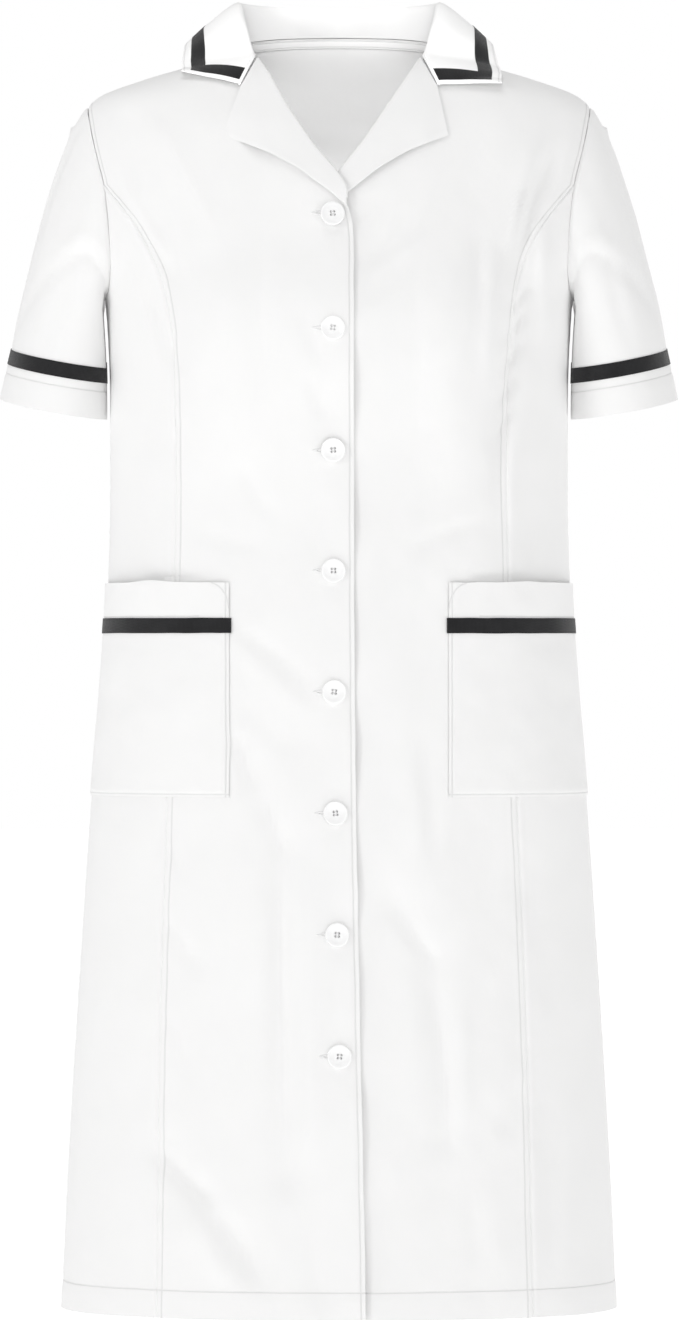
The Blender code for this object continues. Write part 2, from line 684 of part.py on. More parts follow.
def collar_line(u, side):
    """The collar across at u: rows from its edge to the ridge, then down to the seam."""
    row = CollarRow(u, *(column_at(COLLAR, name, u, "u") for name in CollarRow._fields[1:]))
    edge = np.array([row.edge_x, row.edge_y, row.edge_z - side * TIP_SKEW * smooth(u, 0.6, 1)])
    laid = on_front(edge[0], edge[2], COLLAR_CLEAR + 0.5)
    edge = edge + (laid - edge) * smooth(u, 0.85, 1)
    ridge = np.array([row.ridge_x, row.ridge_y, row.ridge_z])
    if u > GORGE_U:
        share = (u - GORGE_U) / (1 - GORGE_U)
        start = np.array([FRONT_NECK[0].x, FRONT_NECK[0].z])
        along = np.array([NOTCH.x, NOTCH.z]) - start
        place = start + along * share + unit(np.array([-along[1], along[0]])) * 0.6
        seam = on_front(place[0], place[1], LAPEL_LIFT)
    else:
        angle = float(row.seam_angle)
        seam_z = back_neck(angle) if angle >= 90 else front_neck(angle)
        seam = form_point(angle, seam_z)
        level = unit(np.array([seam[0], seam[1] - 5, 0]))
        seam = seam + np.array([0, 0, SEAM_RISE]) - level * 0.6
        on_gorge = on_front(FRONT_NECK[0].x + 0.3, FRONT_NECK[0].z + 0.8, LAPEL_LIFT)
        seam = seam + (on_gorge - seam) * smooth(u, GORGE_U - STAND_FADE_U / 2, GORGE_U)
    level = unit(np.array([seam[0], seam[1] - 5, 0]))
    stands = 1 - smooth(u, GORGE_U - STAND_FADE_U, GORGE_U)
    near = seam + 2 * unit(edge - seam)
    ridge = ridge * stands + near * (1 - stands)
    brow_out = level * BROW_OUT - np.array([0, 0, BROW_DOWN])
    brow = ridge + brow_out * stands + (edge - ridge) * 0.12 * (1 - stands)
    bulge = unit(level + np.array([0, 0, 0.8])) * FALL_BULGE
    middle = (ridge + edge) / 2 + bulge * (0.3 + 0.7 * stands)
    fall = spline([edge, middle, brow, ridge], np.linspace(0, 1, 120))
    length = np.linalg.norm(np.diff(fall, axis=0), axis=1).sum()
    fall = at_shares(fall, insets(length, 7, TAPE_INSET) / length)
    stand_middle = (seam + ridge) / 2 - level * stands
    stand = spline([ridge, stand_middle, seam], np.linspace(0, 1, 5))
    return np.concatenate([fall, stand[1:]])


def collar_grid():
    """Rows from the edge over the ridge to the neck seam, from the right end to the left."""
    lines = []
    for u in np.linspace(-1, 1, 101):
        side = 1 if u > 0 else -1
        line = collar_line(abs(u), side)
        line[:, 0] *= side
        lines.append(line)
    rows = np.array(lines).transpose(1, 0, 2)
    made = []
    for row in rows:
        length = np.linalg.norm(np.diff(row, axis=0), axis=1).sum()
        half = insets(length / 2, COLLAR_COLUMNS // 2 + 1, TAPE_FRONT_INSET)
        made.append(at_shares(row, np.concatenate([half, length - half[-2::-1]]) / length))
    made = np.array(made)
    made[:8] = clear_of_form(made[:8], COLLAR_CLEAR)
    normals = grid_normals(made)
    if normals[0, made.shape[1] // 2, 1] < 0:
        normals = -normals
    return made, normals


def collar(slot, tape_slot):
    points, normals = collar_grid()
    wall("collar", points, normals, CLOTH, slot)
    tape = points + normals * ((CLOTH + TAPE) / 2 + SEAM_GAP)
    # Along the edge, and up each front end on the fall.
    ends = [1, points.shape[1] - 3]
    cells = [(1, column) for column in range(ends[0], ends[1] + 1)]
    cells += [(row, column) for row in range(2, 7) for column in ends]
    wall("collar_tape", tape, normals, TAPE, tape_slot, cells=cells)


def lapel(side, slot):
    """The front's facing, turned out along the roll line and laid on the front."""
    share = np.linspace(0, 1, LAPEL_ROWS + 1)
    roll_zs = BREAK_Z + 1.5 + share * (ROLL[-1].z - BREAK_Z - 2.5)
    roll = np.stack([roll_x(roll_zs, side), roll_zs], axis=-1)
    edge_start = np.array([roll[0, 0], BREAK_Z - 4.5])
    point = np.array([LAPEL_POINT.x - side * LAPEL_POINT_SKEW, LAPEL_POINT.z])
    notch = np.array([NOTCH.x, NOTCH.z])
    edge = edge_start + (point - edge_start) * share[:, None]
    edge[:, 1] += LAPEL_HOLLOW * np.sin(math.pi * share)
    across = np.linspace(0, 1, LAPEL_COLUMNS + 1)
    lengths = [np.linalg.norm(notch - roll[-1]), np.linalg.norm(point - notch)]
    turn = round(LAPEL_COLUMNS * lengths[0] / sum(lengths)) / LAPEL_COLUMNS
    top = [np.interp(across, [0, turn, 1], [roll[-1, k], notch[k], point[k]]) for k in (0, 1)]
    bottom = roll[0] + (edge[0] - roll[0]) * across[:, None]
    places = coons(bottom, np.stack(top, axis=-1), roll, edge, LAPEL_ROWS)
    xs, zs = places[..., 0], places[..., 1]
    angles = angle_of(xs, zs)
    points, normals = form_point(angles, zs), form_normal(angles, zs)
    points[..., 0] *= side
    normals[..., 0] *= side
    lift = lap_lift(points, side) + LAPEL_LIFT
    roundness = LAPEL_ROUND * np.sin(math.pi * across)[None, :] * (share - share**4)[:, None]
    points = points + normals * (lift + roundness)[..., None]
    wall(f"lapel_{side_name(side)}", *facing_out(points, normals, side), CLOTH, slot)


# ---- pockets and buttons ----


def pocket(side, slot, tape_slot):
    tape_top = POCKET_TOP_Z - POCKET_TAPE_DOWN
    zs = np.concatenate(
        [
            np.linspace(POCKET_BOTTOM_Z, tape_top - TAPE_WIDTH, 6),
            [tape_top, tape_top + POCKET_TAPE_DOWN / 2, POCKET_TOP_Z],
        ]
    )
    across = np.linspace(0, 1, POCKET_COLUMNS + 1)
    start = angle_of(POCKET_INNER_X, zs)[:, None]
    angles = start + (POCKET_OUTER_ANGLE - start) * across[None, :]
    heights = np.repeat(zs[:, None], POCKET_COLUMNS + 1, axis=1)
    rise = np.clip(1 - (POCKET_TOP_Z - heights) / POCKET_GAPE_DEPTH, 0, 1) ** 2
    gape = POCKET_GAPE * rise * np.sin(math.pi * across)[None, :] ** 2
    points = form_point(angles * side, heights)
    normals = form_normal(angles * side, heights)
    points = points + normals * (CLOTH + LAY_GAP + gape)[..., None]
    wall(f"pocket_{side_name(side)}", *facing_out(points, normals, side), CLOTH, slot)
    band = points[5:7] + normals[5:7] * ((CLOTH + TAPE) / 2 + SEAM_GAP)
    name = f"pocket_tape_{side_name(side)}"
    wall(name, *facing_out(band, normals[5:7], side), TAPE, tape_slot)


def button_places():
    zs = [TOP_BUTTON_Z] + [SECOND_BUTTON_Z - i * BUTTON_PITCH for i in range(BUTTONS - 1)]
    return [(LAP - BUTTON_IN + float(column_at(LAP_SWING, "out", z)), z) for z in zs]


def seat_on(carrier, point, out, radius):
    """How far out from the point the carrier's outside is, at its highest under a disc."""
    tree = BVHTree.FromBMesh(carrier)
    side_on = unit(np.cross(np.array([0, 0, 1.0]), out))
    up = np.cross(out, side_on)
    start = 30
    highest = -start
    for turn in np.arange(0, 360, 30):
        for reach in (0, radius / 2, radius):
            spot = point + reach * (
                side_on * math.cos(math.radians(turn)) + up * math.sin(math.radians(turn))
            )
            distance = tree.ray_cast(Vector((spot + out * start) * MM), Vector(-out))[3]
            if distance is not None:
                highest = max(highest, start - distance / MM)
    return highest


def button(number, x, z, carrier, slot):
    """A turned disc with a raised rim, standing on the lap's top layer."""
    angle = angle_of(x, z)
    point, out = form_point(angle, z), form_normal(angle, z)
    base = point + out * (seat_on(carrier, point, out, BUTTON_RADIUS) + SEAM_GAP)
    profile = [
        (0, 0),
        (BUTTON_RADIUS - 1.5, 0),
        (BUTTON_RADIUS, 1.0),
        (BUTTON_RADIUS, BUTTON_HEIGHT - 0.8),
        (BUTTON_RADIUS - 0.8, BUTTON_HEIGHT),
        (BUTTON_RADIUS - BUTTON_RIM - 0.6, BUTTON_HEIGHT - 0.2),
        (BUTTON_RADIUS - BUTTON_RIM - 1.4, BUTTON_HEIGHT - 0.9),
        (0, BUTTON_HEIGHT - 0.9),
    ]
    mesh = bmesh.new()
    verts = [mesh.verts.new((radius * MM, 0, height * MM)) for radius, height in profile]
    edges = [mesh.edges.new(pair) for pair in zip(verts[:-1], verts[1:], strict=True)]
    bmesh.ops.spin(
        mesh,
        geom=verts + edges,
        cent=(0, 0, 0),
        axis=(0, 0, 1),
        angle=math.tau,
        steps=BUTTON_SIDES,
        use_merge=True,
    )
    bmesh.ops.remove_doubles(mesh, verts=mesh.verts, dist=0.00001)
    bmesh.ops.recalc_face_normals(mesh, faces=mesh.faces)
    made = node(f"button_{number}", mesh, slot)
    made.location = base * MM
    side_on = unit(np.cross(np.array([0, 0, 1.0]), out))
    made.rotation_mode = "QUATERNION"
    upright = np.cross(out, side_on)
    turned = np.stack([side_on, upright, out], axis=1)
    made.rotation_quaternion = Matrix(turned.tolist()).to_quaternion()
    return made


def main():
    for old in list(bpy.data.objects):
        bpy.data.objects.remove(old)
    white = material("white_cloth", WHITE, 0.85)
    black = material("black_tape", BLACK, 0.6)
    plastic = material("button_plastic", BUTTON_WHITE, 0.3)
    back(white)
    neck_tape(white)
    for side in (-1, 1):
        front(side, white)
        side_front(side, white)
        sleeve(side, white, black)
        lapel(side, white)
        pocket(side, white, black)
    collar(white, black)
    carrier = bmesh.new()
    carrier.from_mesh(bpy.data.objects["front_right"].data)
    for number, (x, z) in enumerate(button_places(), start=1):
        button(number, x, z, carrier, plastic)
    carrier.free()


main()
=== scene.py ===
# %% [markdown]
# # A short-sleeved nurse's uniform dress
#
# The dress is shown filled out as if somebody wore it, with nobody inside. Every cut piece
# of cloth, each tape and each button is its own object here, as a maker would sew them.
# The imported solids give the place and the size. Each sheet of cloth is made again from the
# same rings and seams with far more rows and columns, so that creases and seams are real
# shapes and not only shading.

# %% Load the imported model
import math

import bmesh
import bpy
import numpy as np
from mathutils import Matrix, Vector
from mathutils.kdtree import KDTree


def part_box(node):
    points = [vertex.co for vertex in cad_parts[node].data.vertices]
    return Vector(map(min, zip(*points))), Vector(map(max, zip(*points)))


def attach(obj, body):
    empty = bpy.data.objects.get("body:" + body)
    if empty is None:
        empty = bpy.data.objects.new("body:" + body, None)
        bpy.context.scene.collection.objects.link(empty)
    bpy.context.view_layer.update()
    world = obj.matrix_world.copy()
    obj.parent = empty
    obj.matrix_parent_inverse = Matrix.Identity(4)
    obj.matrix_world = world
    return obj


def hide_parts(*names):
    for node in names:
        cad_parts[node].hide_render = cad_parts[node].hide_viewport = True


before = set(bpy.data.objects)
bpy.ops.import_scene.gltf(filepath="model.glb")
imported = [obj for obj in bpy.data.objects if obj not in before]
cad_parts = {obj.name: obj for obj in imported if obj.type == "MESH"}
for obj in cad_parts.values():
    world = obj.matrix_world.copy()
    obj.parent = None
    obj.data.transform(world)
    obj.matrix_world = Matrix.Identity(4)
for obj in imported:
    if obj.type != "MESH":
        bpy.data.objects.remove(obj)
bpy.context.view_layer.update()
bpy.ops.object.select_all(action="DESELECT")

# %% [markdown]
# ## Camera, floor and light
#
# White cloth shows its shape only by small steps of grey. The open sky gives about half of
# the light. The key light stands well round to the dress's right, so that it grazes the
# folds, and a weaker fill stands on the other side. The floor and the sky behind are nearly
# as light as the cloth.

# %% Camera
camera_data = bpy.data.cameras.new("camera")
camera_data.sensor_fit = "VERTICAL"
camera_data.sensor_height = 36
camera_data.lens = 204.5
camera = bpy.data.objects.new("camera", camera_data)
camera.location = (0.0004, -6.0, -0.488)
camera.rotation_euler = (math.radians(90), 0, 0)
bpy.context.scene.collection.objects.link(camera)
bpy.context.scene.camera = camera
print("camera", tuple(camera.location), "lens", camera_data.lens)

# %% Sky and lights
SKY_LIGHT = 0.48
SKY_SEEN = 1.0
world = bpy.data.worlds.new("sky")
world.use_nodes = True
sky = world.node_tree
sky_shader = sky.nodes["Background"]
seen = sky.nodes.new("ShaderNodeBackground")
for shader, strength in ((sky_shader, SKY_LIGHT), (seen, SKY_SEEN)):
    shader.inputs["Color"].default_value = (1, 1, 1, 1)
    shader.inputs["Strength"].default_value = strength
which_ray = sky.nodes.new("ShaderNodeLightPath")
either = sky.nodes.new("ShaderNodeMixShader")
sky.links.new(which_ray.outputs["Is Camera Ray"], either.inputs[0])
sky.links.new(sky_shader.outputs[0], either.inputs[1])
sky.links.new(seen.outputs[0], either.inputs[2])
sky.links.new(either.outputs[0], sky.nodes["World Output"].inputs["Surface"])
bpy.context.scene.world = world
bpy.context.scene.view_settings.view_transform = "Standard"


def area_light(name, place, towards, size, power):
    light = bpy.data.lights.new(name, "AREA")
    light.shape = "DISK"
    light.size = size
    light.energy = power
    made = bpy.data.objects.new(name, light)
    made.location = place
    way = Vector(towards) - Vector(place)
    made.rotation_euler = way.to_track_quat("-Z", "Y").to_euler()
    bpy.context.scene.collection.objects.link(made)
    return made


area_light("key", (-3.2, -3.0, 0.9), (0, 0, -0.5), 0.9, 31)
area_light("fill", (3.0, -2.8, 0.2), (0, 0, -0.5), 2.0, 15)
area_light("top", (-0.3, -0.7, 2.6), (0, 0, -0.3), 1.6, 19)
area_light("back_fill", (1.5, 3.2, 0.8), (0, 0, -0.5), 2.0, 16)
inside_light = area_light("inside", (-0.1, -2.4, 0.35), (0, 0.08, -0.06), 0.5, 38)
collar_light = area_light("collar_light", (0, -2.4, -0.35), (0, 0.06, 0.02), 0.4, 25)

# %% Floor
FLOOR_Z = -1.3
bpy.ops.mesh.primitive_plane_add(size=60, location=(0, 0, FLOOR_Z))
floor = bpy.context.object
floor.name = "floor"
floor_paint = bpy.data.materials.new("floor_paint")
floor_paint.use_nodes = True
floor_shader = floor_paint.node_tree.nodes["Principled BSDF"]
floor_shader.inputs["Base Color"].default_value = (0.95, 0.95, 0.95, 1)
floor_shader.inputs["Roughness"].default_value = 0.9
floor_shader.inputs["Emission Color"].default_value = (1, 1, 1, 1)
floor_shader.inputs["Emission Strength"].default_value = 0.6
floor.data.materials.append(floor_paint)
bpy.ops.object.select_all(action="DESELECT")
print("floor at", FLOOR_Z)

# %% [markdown]
# ## Materials
#
# The dress is polyester-cotton: matt, plain and finely woven. Its look comes from a weave
# of crossing threads, a faint unevenness, and rows of stitches. Where a row of stitches
# runs, the cloth is drawn down into a groove and each stitch is a small raised dash in it.
# The groove also has painted shade: its colour is mixed towards grey by its depth.
# The sheets carry their distance from each row in millimetres as attributes, so one
# material stitches every piece in its own place. The threads follow the UV map, which is in
# metres with the grain upright.

# %% A helper for shader nodes
def add_node(tree, kind, inputs=None, **settings):
    """A node with its settings, and inputs that are values or other nodes' outputs."""
    made = tree.nodes.new(kind)
    for key, value in settings.items():
        setattr(made, key, value)
    for key, value in (inputs or {}).items():
        if isinstance(value, bpy.types.NodeSocket):
            tree.links.new(value, made.inputs[key])
        else:
            made.inputs[key].default_value = value
    return made


def sums(tree, operation, *values, clamp=False):
    """The output of a Math node."""
    inputs = dict(enumerate(values))
    return add_node(tree, "ShaderNodeMath", inputs, operation=operation, use_clamp=clamp).outputs[0]


def new_group(name, inputs, outputs):
    group = bpy.data.node_groups.new(name, "ShaderNodeTree")
    for label, kind, value in inputs:
        socket = group.interface.new_socket(label, in_out="INPUT", socket_type=kind)
        if value is not None:
            socket.default_value = value
    for label, kind in outputs:
        group.interface.new_socket(label, in_out="OUTPUT", socket_type=kind)
    start = group.nodes.new("NodeGroupInput")
    end = group.nodes.new("NodeGroupOutput")
    return group, start.outputs, end.inputs


def noise(tree, place, scale, detail):
    inputs = {"Vector": place, "Scale": scale, "Detail": detail}
    return add_node(tree, "ShaderNodeTexNoise", inputs).outputs["Fac"]


def two_tone(tree, share, first, last, between=(0, 1)):
    """A colour that runs from first to last as share runs between two values."""
    ramp = add_node(tree, "ShaderNodeValToRGB", {"Fac": share})
    for element, colour, position in zip(ramp.color_ramp.elements, (first, last), between, strict=True):
        element.color = (*colour, 1)
        element.position = position
    return ramp.outputs["Color"]


def bumped(tree, shader, height, strength, distance):
    inputs = {"Height": height, "Strength": strength, "Distance": distance}
    made = add_node(tree, "ShaderNodeBump", inputs)
    tree.links.new(made.outputs[0], shader.inputs["Normal"])


# %% Weave: threads over and under
FLOAT, VECTOR = "NodeSocketFloat", "NodeSocketVector"
weave, weave_in, weave_out = new_group(
    "plain_weave",
    [("Place", VECTOR, None), ("Thread", FLOAT, 0.00045)],
    [("Height", FLOAT)],
)
place = add_node(weave, "ShaderNodeSeparateXYZ", {0: weave_in["Place"]}).outputs
turns = sums(weave, "DIVIDE", math.pi, weave_in["Thread"])
across_wave = sums(weave, "SINE", sums(weave, "MULTIPLY", place[0], turns))
along_wave = sums(weave, "SINE", sums(weave, "MULTIPLY", place[1], turns))
over_under = sums(weave, "MULTIPLY", across_wave, along_wave)
weave.links.new(sums(weave, "MULTIPLY_ADD", over_under, 0.5, 0.5), weave_out["Height"])

# %% Stitches: a row at a given distance, dashed along its length
STITCH_LENGTH = 0.0028
GROOVE_HALF_WIDTH = 1.3
THREAD_HALF_WIDTH = 0.35
STITCH_SHARE = 0.72
stitching, stitch_in, stitch_out = new_group(
    "stitch_row",
    [("Distance", FLOAT, 1000.0), ("Along", FLOAT, 0.0)],
    [("Groove", FLOAT), ("Thread", FLOAT)],
)
away = sums(stitching, "ABSOLUTE", stitch_in["Distance"])
near = sums(stitching, "SUBTRACT", 1.0, sums(stitching, "DIVIDE", away, GROOVE_HALF_WIDTH), clamp=True)
groove = sums(stitching, "MULTIPLY", near, near)
stitching.links.new(groove, stitch_out["Groove"])
on_thread = sums(stitching, "LESS_THAN", away, THREAD_HALF_WIDTH)
step = sums(stitching, "FRACT", sums(stitching, "DIVIDE", stitch_in["Along"], STITCH_LENGTH))
dash = sums(stitching, "LESS_THAN", step, STITCH_SHARE)
stitching.links.new(sums(stitching, "MULTIPLY", on_thread, dash), stitch_out["Thread"])
print("shader groups:", weave.name, stitching.name)


# %% The dress's cloth
def new_material(name):
    made = bpy.data.materials.new(name)
    made.use_nodes = True
    tree = made.node_tree
    return made, tree, tree.nodes["Principled BSDF"]


def grouped(tree, group, **inputs):
    made = tree.nodes.new("ShaderNodeGroup")
    made.node_tree = group
    for key, value in inputs.items():
        if isinstance(value, bpy.types.NodeSocket):
            tree.links.new(value, made.inputs[key])
        else:
            made.inputs[key].default_value = value
    return made.outputs


CLOTH_WHITE = (0.908, 0.906, 0.903, 1)
# painted shade: the grey that each stitch groove's colour is mixed towards
PAINTED_GROOVE_GREY = (0.60, 0.60, 0.60, 1)
GROOVE_SHADE = 0.34
COLOUR_A, COLOUR_B, COLOUR_OUT = 6, 7, 2
dress_cloth, cloth_tree, cloth_shader = new_material("dress_cloth")
cloth_shader.inputs["Specular IOR Level"].default_value = 0.25
cloth_shader.inputs["Sheen Weight"].default_value = 0.12
cloth_shader.inputs["Sheen Roughness"].default_value = 0.5
cloth_uv = add_node(cloth_tree, "ShaderNodeUVMap", uv_map="grain").outputs[0]
uv_parts = add_node(cloth_tree, "ShaderNodeSeparateXYZ", {0: cloth_uv}).outputs
grooves = 0.0
threads = 0.0
for attribute in ("rows_a", "rows_b"):
    stored = add_node(cloth_tree, "ShaderNodeAttribute", attribute_name=attribute)
    distances = add_node(cloth_tree, "ShaderNodeSeparateXYZ", {0: stored.outputs["Vector"]}).outputs
    for index, along in ((0, 1), (1, 1), (2, 0)):
        row = grouped(
            cloth_tree, stitching, Distance=distances[index], Along=uv_parts[along]
        )
        grooves = sums(cloth_tree, "MAXIMUM", grooves, row["Groove"])
        threads = sums(cloth_tree, "MAXIMUM", threads, row["Thread"])
threads_height = grouped(cloth_tree, weave, Place=cloth_uv)["Height"]
object_place = add_node(cloth_tree, "ShaderNodeTexCoord").outputs["Object"]
slubs = noise(cloth_tree, object_place, 260, 3)
crinkle = noise(cloth_tree, object_place, 55, 4)
# how much each feature adds to the height of the cloth's surface
features = ((threads_height, 0.05), (slubs, 0.12), (crinkle, 0.75), (grooves, -0.75), (threads, 0.3))
height = 0.0
for feature, weight in features:
    height = sums(cloth_tree, "MULTIPLY_ADD", feature, weight, height)
bumped(cloth_tree, cloth_shader, height, 0.55, 0.0009)
# painted shade: the deeper the stitch groove, the greyer the cloth's colour there
shade = sums(cloth_tree, "MULTIPLY", grooves, GROOVE_SHADE)
cloth_colour = add_node(
    cloth_tree,
    "ShaderNodeMix",
    {"Factor": shade, COLOUR_A: CLOTH_WHITE, COLOUR_B: PAINTED_GROOVE_GREY},
    data_type="RGBA",
)
cloth_tree.links.new(cloth_colour.outputs[COLOUR_OUT], cloth_shader.inputs["Base Color"])
cloth_rough = sums(cloth_tree, "MULTIPLY_ADD", slubs, 0.12, 0.78)
cloth_tree.links.new(cloth_rough, cloth_shader.inputs["Roughness"])
print("cloth nodes:", len(cloth_tree.nodes))

# %% [markdown]
# The tape is a narrow black ribbon, closely ribbed across its width, with a stitched line
# near each edge. Black cloth still shows its ribs by a slight sheen.

# %% Tape
RIB_PITCH, TAPE_THREAD = 0.0011, 0.0006
tape_cloth, tape_tree, tape_shader = new_material("trim_tape")
tape_shader.inputs["Sheen Weight"].default_value = 0.25
tape_shader.inputs["Sheen Roughness"].default_value = 0.4
tape_shader.inputs["Specular IOR Level"].default_value = 0.3
tape_uv = add_node(tape_tree, "ShaderNodeUVMap", uv_map="grain").outputs[0]
tape_parts = add_node(tape_tree, "ShaderNodeSeparateXYZ", {0: tape_uv}).outputs
rib_turn = sums(tape_tree, "MULTIPLY", tape_parts[0], math.tau / RIB_PITCH)
rib = sums(tape_tree, "MULTIPLY_ADD", sums(tape_tree, "SINE", rib_turn), 0.5, 0.5)
tape_rows = add_node(tape_tree, "ShaderNodeAttribute", attribute_name="rows_a")
tape_away = add_node(tape_tree, "ShaderNodeSeparateXYZ", {0: tape_rows.outputs["Vector"]}).outputs
tape_row = grouped(tape_tree, stitching, Distance=tape_away[2], Along=tape_parts[0])
tape_weave = grouped(tape_tree, weave, Place=tape_uv, Thread=TAPE_THREAD)["Height"]
tape_height = sums(tape_tree, "MULTIPLY_ADD", tape_weave, 0.3, sums(tape_tree, "MULTIPLY", rib, 0.5))
tape_height = sums(tape_tree, "MULTIPLY_ADD", tape_row["Groove"], -0.8, tape_height)
bumped(tape_tree, tape_shader, tape_height, 0.6, 0.0005)
tape_dust = noise(tape_tree, add_node(tape_tree, "ShaderNodeTexCoord").outputs["Object"], 90, 5)
tape_black = two_tone(tape_tree, tape_dust, (0.0065, 0.0065, 0.0075), (0.013, 0.013, 0.0145), (0.3, 0.75))
tape_tree.links.new(tape_black, tape_shader.inputs["Base Color"])
tape_tree.links.new(
    sums(tape_tree, "MULTIPLY_ADD", tape_weave, 0.15, 0.62), tape_shader.inputs["Roughness"]
)
print("tape nodes:", len(tape_tree.nodes))

# %% [markdown]
# The buttons are cast polyester: a hard, glossy white with a faint cloud in it. Their
# thread is matt cotton, and so are the close stitches round each buttonhole.

# %% Button plastic and thread
button_plastic, button_tree, button_shader = new_material("button_plastic")
button_shader.inputs["Coat Weight"].default_value = 0.6
button_shader.inputs["Coat Roughness"].default_value = 0.08
button_place = add_node(button_tree, "ShaderNodeTexCoord").outputs["Object"]
cloud = noise(button_tree, button_place, 140, 3)
button_white = two_tone(button_tree, cloud, (0.95, 0.95, 0.95), (0.98, 0.98, 0.98))
button_tree.links.new(button_white, button_shader.inputs["Base Color"])
scuffs = noise(button_tree, button_place, 900, 4)
button_tree.links.new(
    sums(button_tree, "MULTIPLY_ADD", scuffs, 0.16, 0.14), button_shader.inputs["Roughness"]
)
bumped(button_tree, button_shader, scuffs, 0.08, 0.0002)

thread_cotton, thread_tree, thread_shader = new_material("thread_cotton")
thread_shader.inputs["Roughness"].default_value = 0.8
thread_place = add_node(thread_tree, "ShaderNodeTexCoord").outputs["Object"]
twist = add_node(
    thread_tree,
    "ShaderNodeTexWave",
    {"Vector": thread_place, "Scale": 900, "Distortion": 1.5},
    bands_direction="DIAGONAL",
).outputs["Fac"]
thread_white = two_tone(thread_tree, twist, (0.80, 0.80, 0.80), (0.92, 0.92, 0.92))
thread_tree.links.new(thread_white, thread_shader.inputs["Base Color"])
bumped(thread_tree, thread_shader, twist, 0.5, 0.0002)
print("materials:", [made.name for made in bpy.data.materials][-4:])

# %% [markdown]
# ## The form that the dress hangs on
#
# The dress is an even ring of cloth at each height, wider over the bust and hip than at
# the waist. A short table gives the ring's half-width and depths at named heights, and a
# smooth curve joins them. An angle of 0 is the centre front, +90 the wearer's left side
# and 180 the centre back. These sizes are in millimetres, and meshes are made in metres.

# %% Rings
MM = 0.001
HEM_Z, BUST_ROW_Z, BREAK_Z, ARMPIT_Z = -1005, -240, -127, -200
TIP_Z, NECK_POINT_Z, BACK_NECK_Z = -47, 3, 14
# height, half-width, front depth, back depth, front power, back power
RINGS = [
    (-1005, 221, 138, 134, 0.94, 0.94),
    (-880, 215, 131, 128, 0.94, 0.94),
    (-740, 206.5, 125, 123, 0.93, 0.93),
    (-600, 197, 120, 118, 0.92, 0.92),
    (-500, 188.5, 117, 109, 0.91, 0.91),
    (-420, 183.5, 114, 99, 0.90, 0.90),
    (-360, 182, 112, 95, 0.89, 0.90),
    (-290, 182, 114, 98, 0.88, 0.90),
    (-225, 184, 116, 104, 0.88, 0.90),
    (-200, 186, 115, 106, 0.88, 0.90),
    (-150, 197, 110, 108, 0.88, 0.90),
    (-112, 203, 104, 106, 0.89, 0.90),
    (-80, 207, 96, 101, 0.90, 0.90),
    (-60, 205, 89, 95, 0.90, 0.90),
    (-47, 200, 83, 89, 0.90, 0.90),
    (-38, 190, 79, 85, 0.90, 0.90),
    (-25, 155, 73, 79, 0.90, 0.92),
    (-12, 112, 64, 72, 0.92, 0.94),
    (3, 80, 50, 64, 0.95, 0.96),
    (14, 72, 45, 60, 0.97, 0.97),
    (30, 68, 42, 57, 1.0, 1.0),
]
HALF_WIDTH, FRONT, BACK, FRONT_POWER, BACK_POWER = 1, 2, 3, 4, 5
BUST_X, BUST_Z, BUST_OUT, BETWEEN = 88, -218, 15, 0.8
BUST_SIDE, BUST_UP, BUST_DOWN = 40, 50, 95
# between these heights the creases fade out towards the shoulders
CALM = (-70, -25)


def column_at(table, column, at):
    """A column of a table, on a smooth curve through its rows."""
    rows = sorted(table)
    keys = np.array([row[0] for row in rows], float)
    values = np.array([row[column] for row in rows], float)
    steps = np.diff(values) / np.diff(keys)
    slopes = np.gradient(values, keys)
    for i, (before, after) in enumerate(zip(steps[:-1], steps[1:], strict=True), start=1):
        most = 2.5 * min(abs(before), abs(after))
        slopes[i] = 0 if before * after <= 0 else math.copysign(min(abs(slopes[i]), most), before)
    at = np.clip(np.asarray(at, float), keys[0], keys[-1])
    i = np.clip(np.searchsorted(keys, at) - 1, 0, len(keys) - 2)
    length = keys[i + 1] - keys[i]
    t = (at - keys[i]) / length
    low, high = values[i], values[i + 1]
    eased = low * (1 + 2 * t) * (1 - t) ** 2 + high * t * t * (3 - 2 * t)
    return eased + length * (slopes[i] * t * (1 - t) ** 2 - slopes[i + 1] * t * t * (1 - t))


def smooth(value, start, end):
    share = np.clip((value - start) / (end - start), 0, 1)
    return share * share * (3 - 2 * share)


print("half-width at the waist:", float(column_at(RINGS, HALF_WIDTH, -360)), "mm")
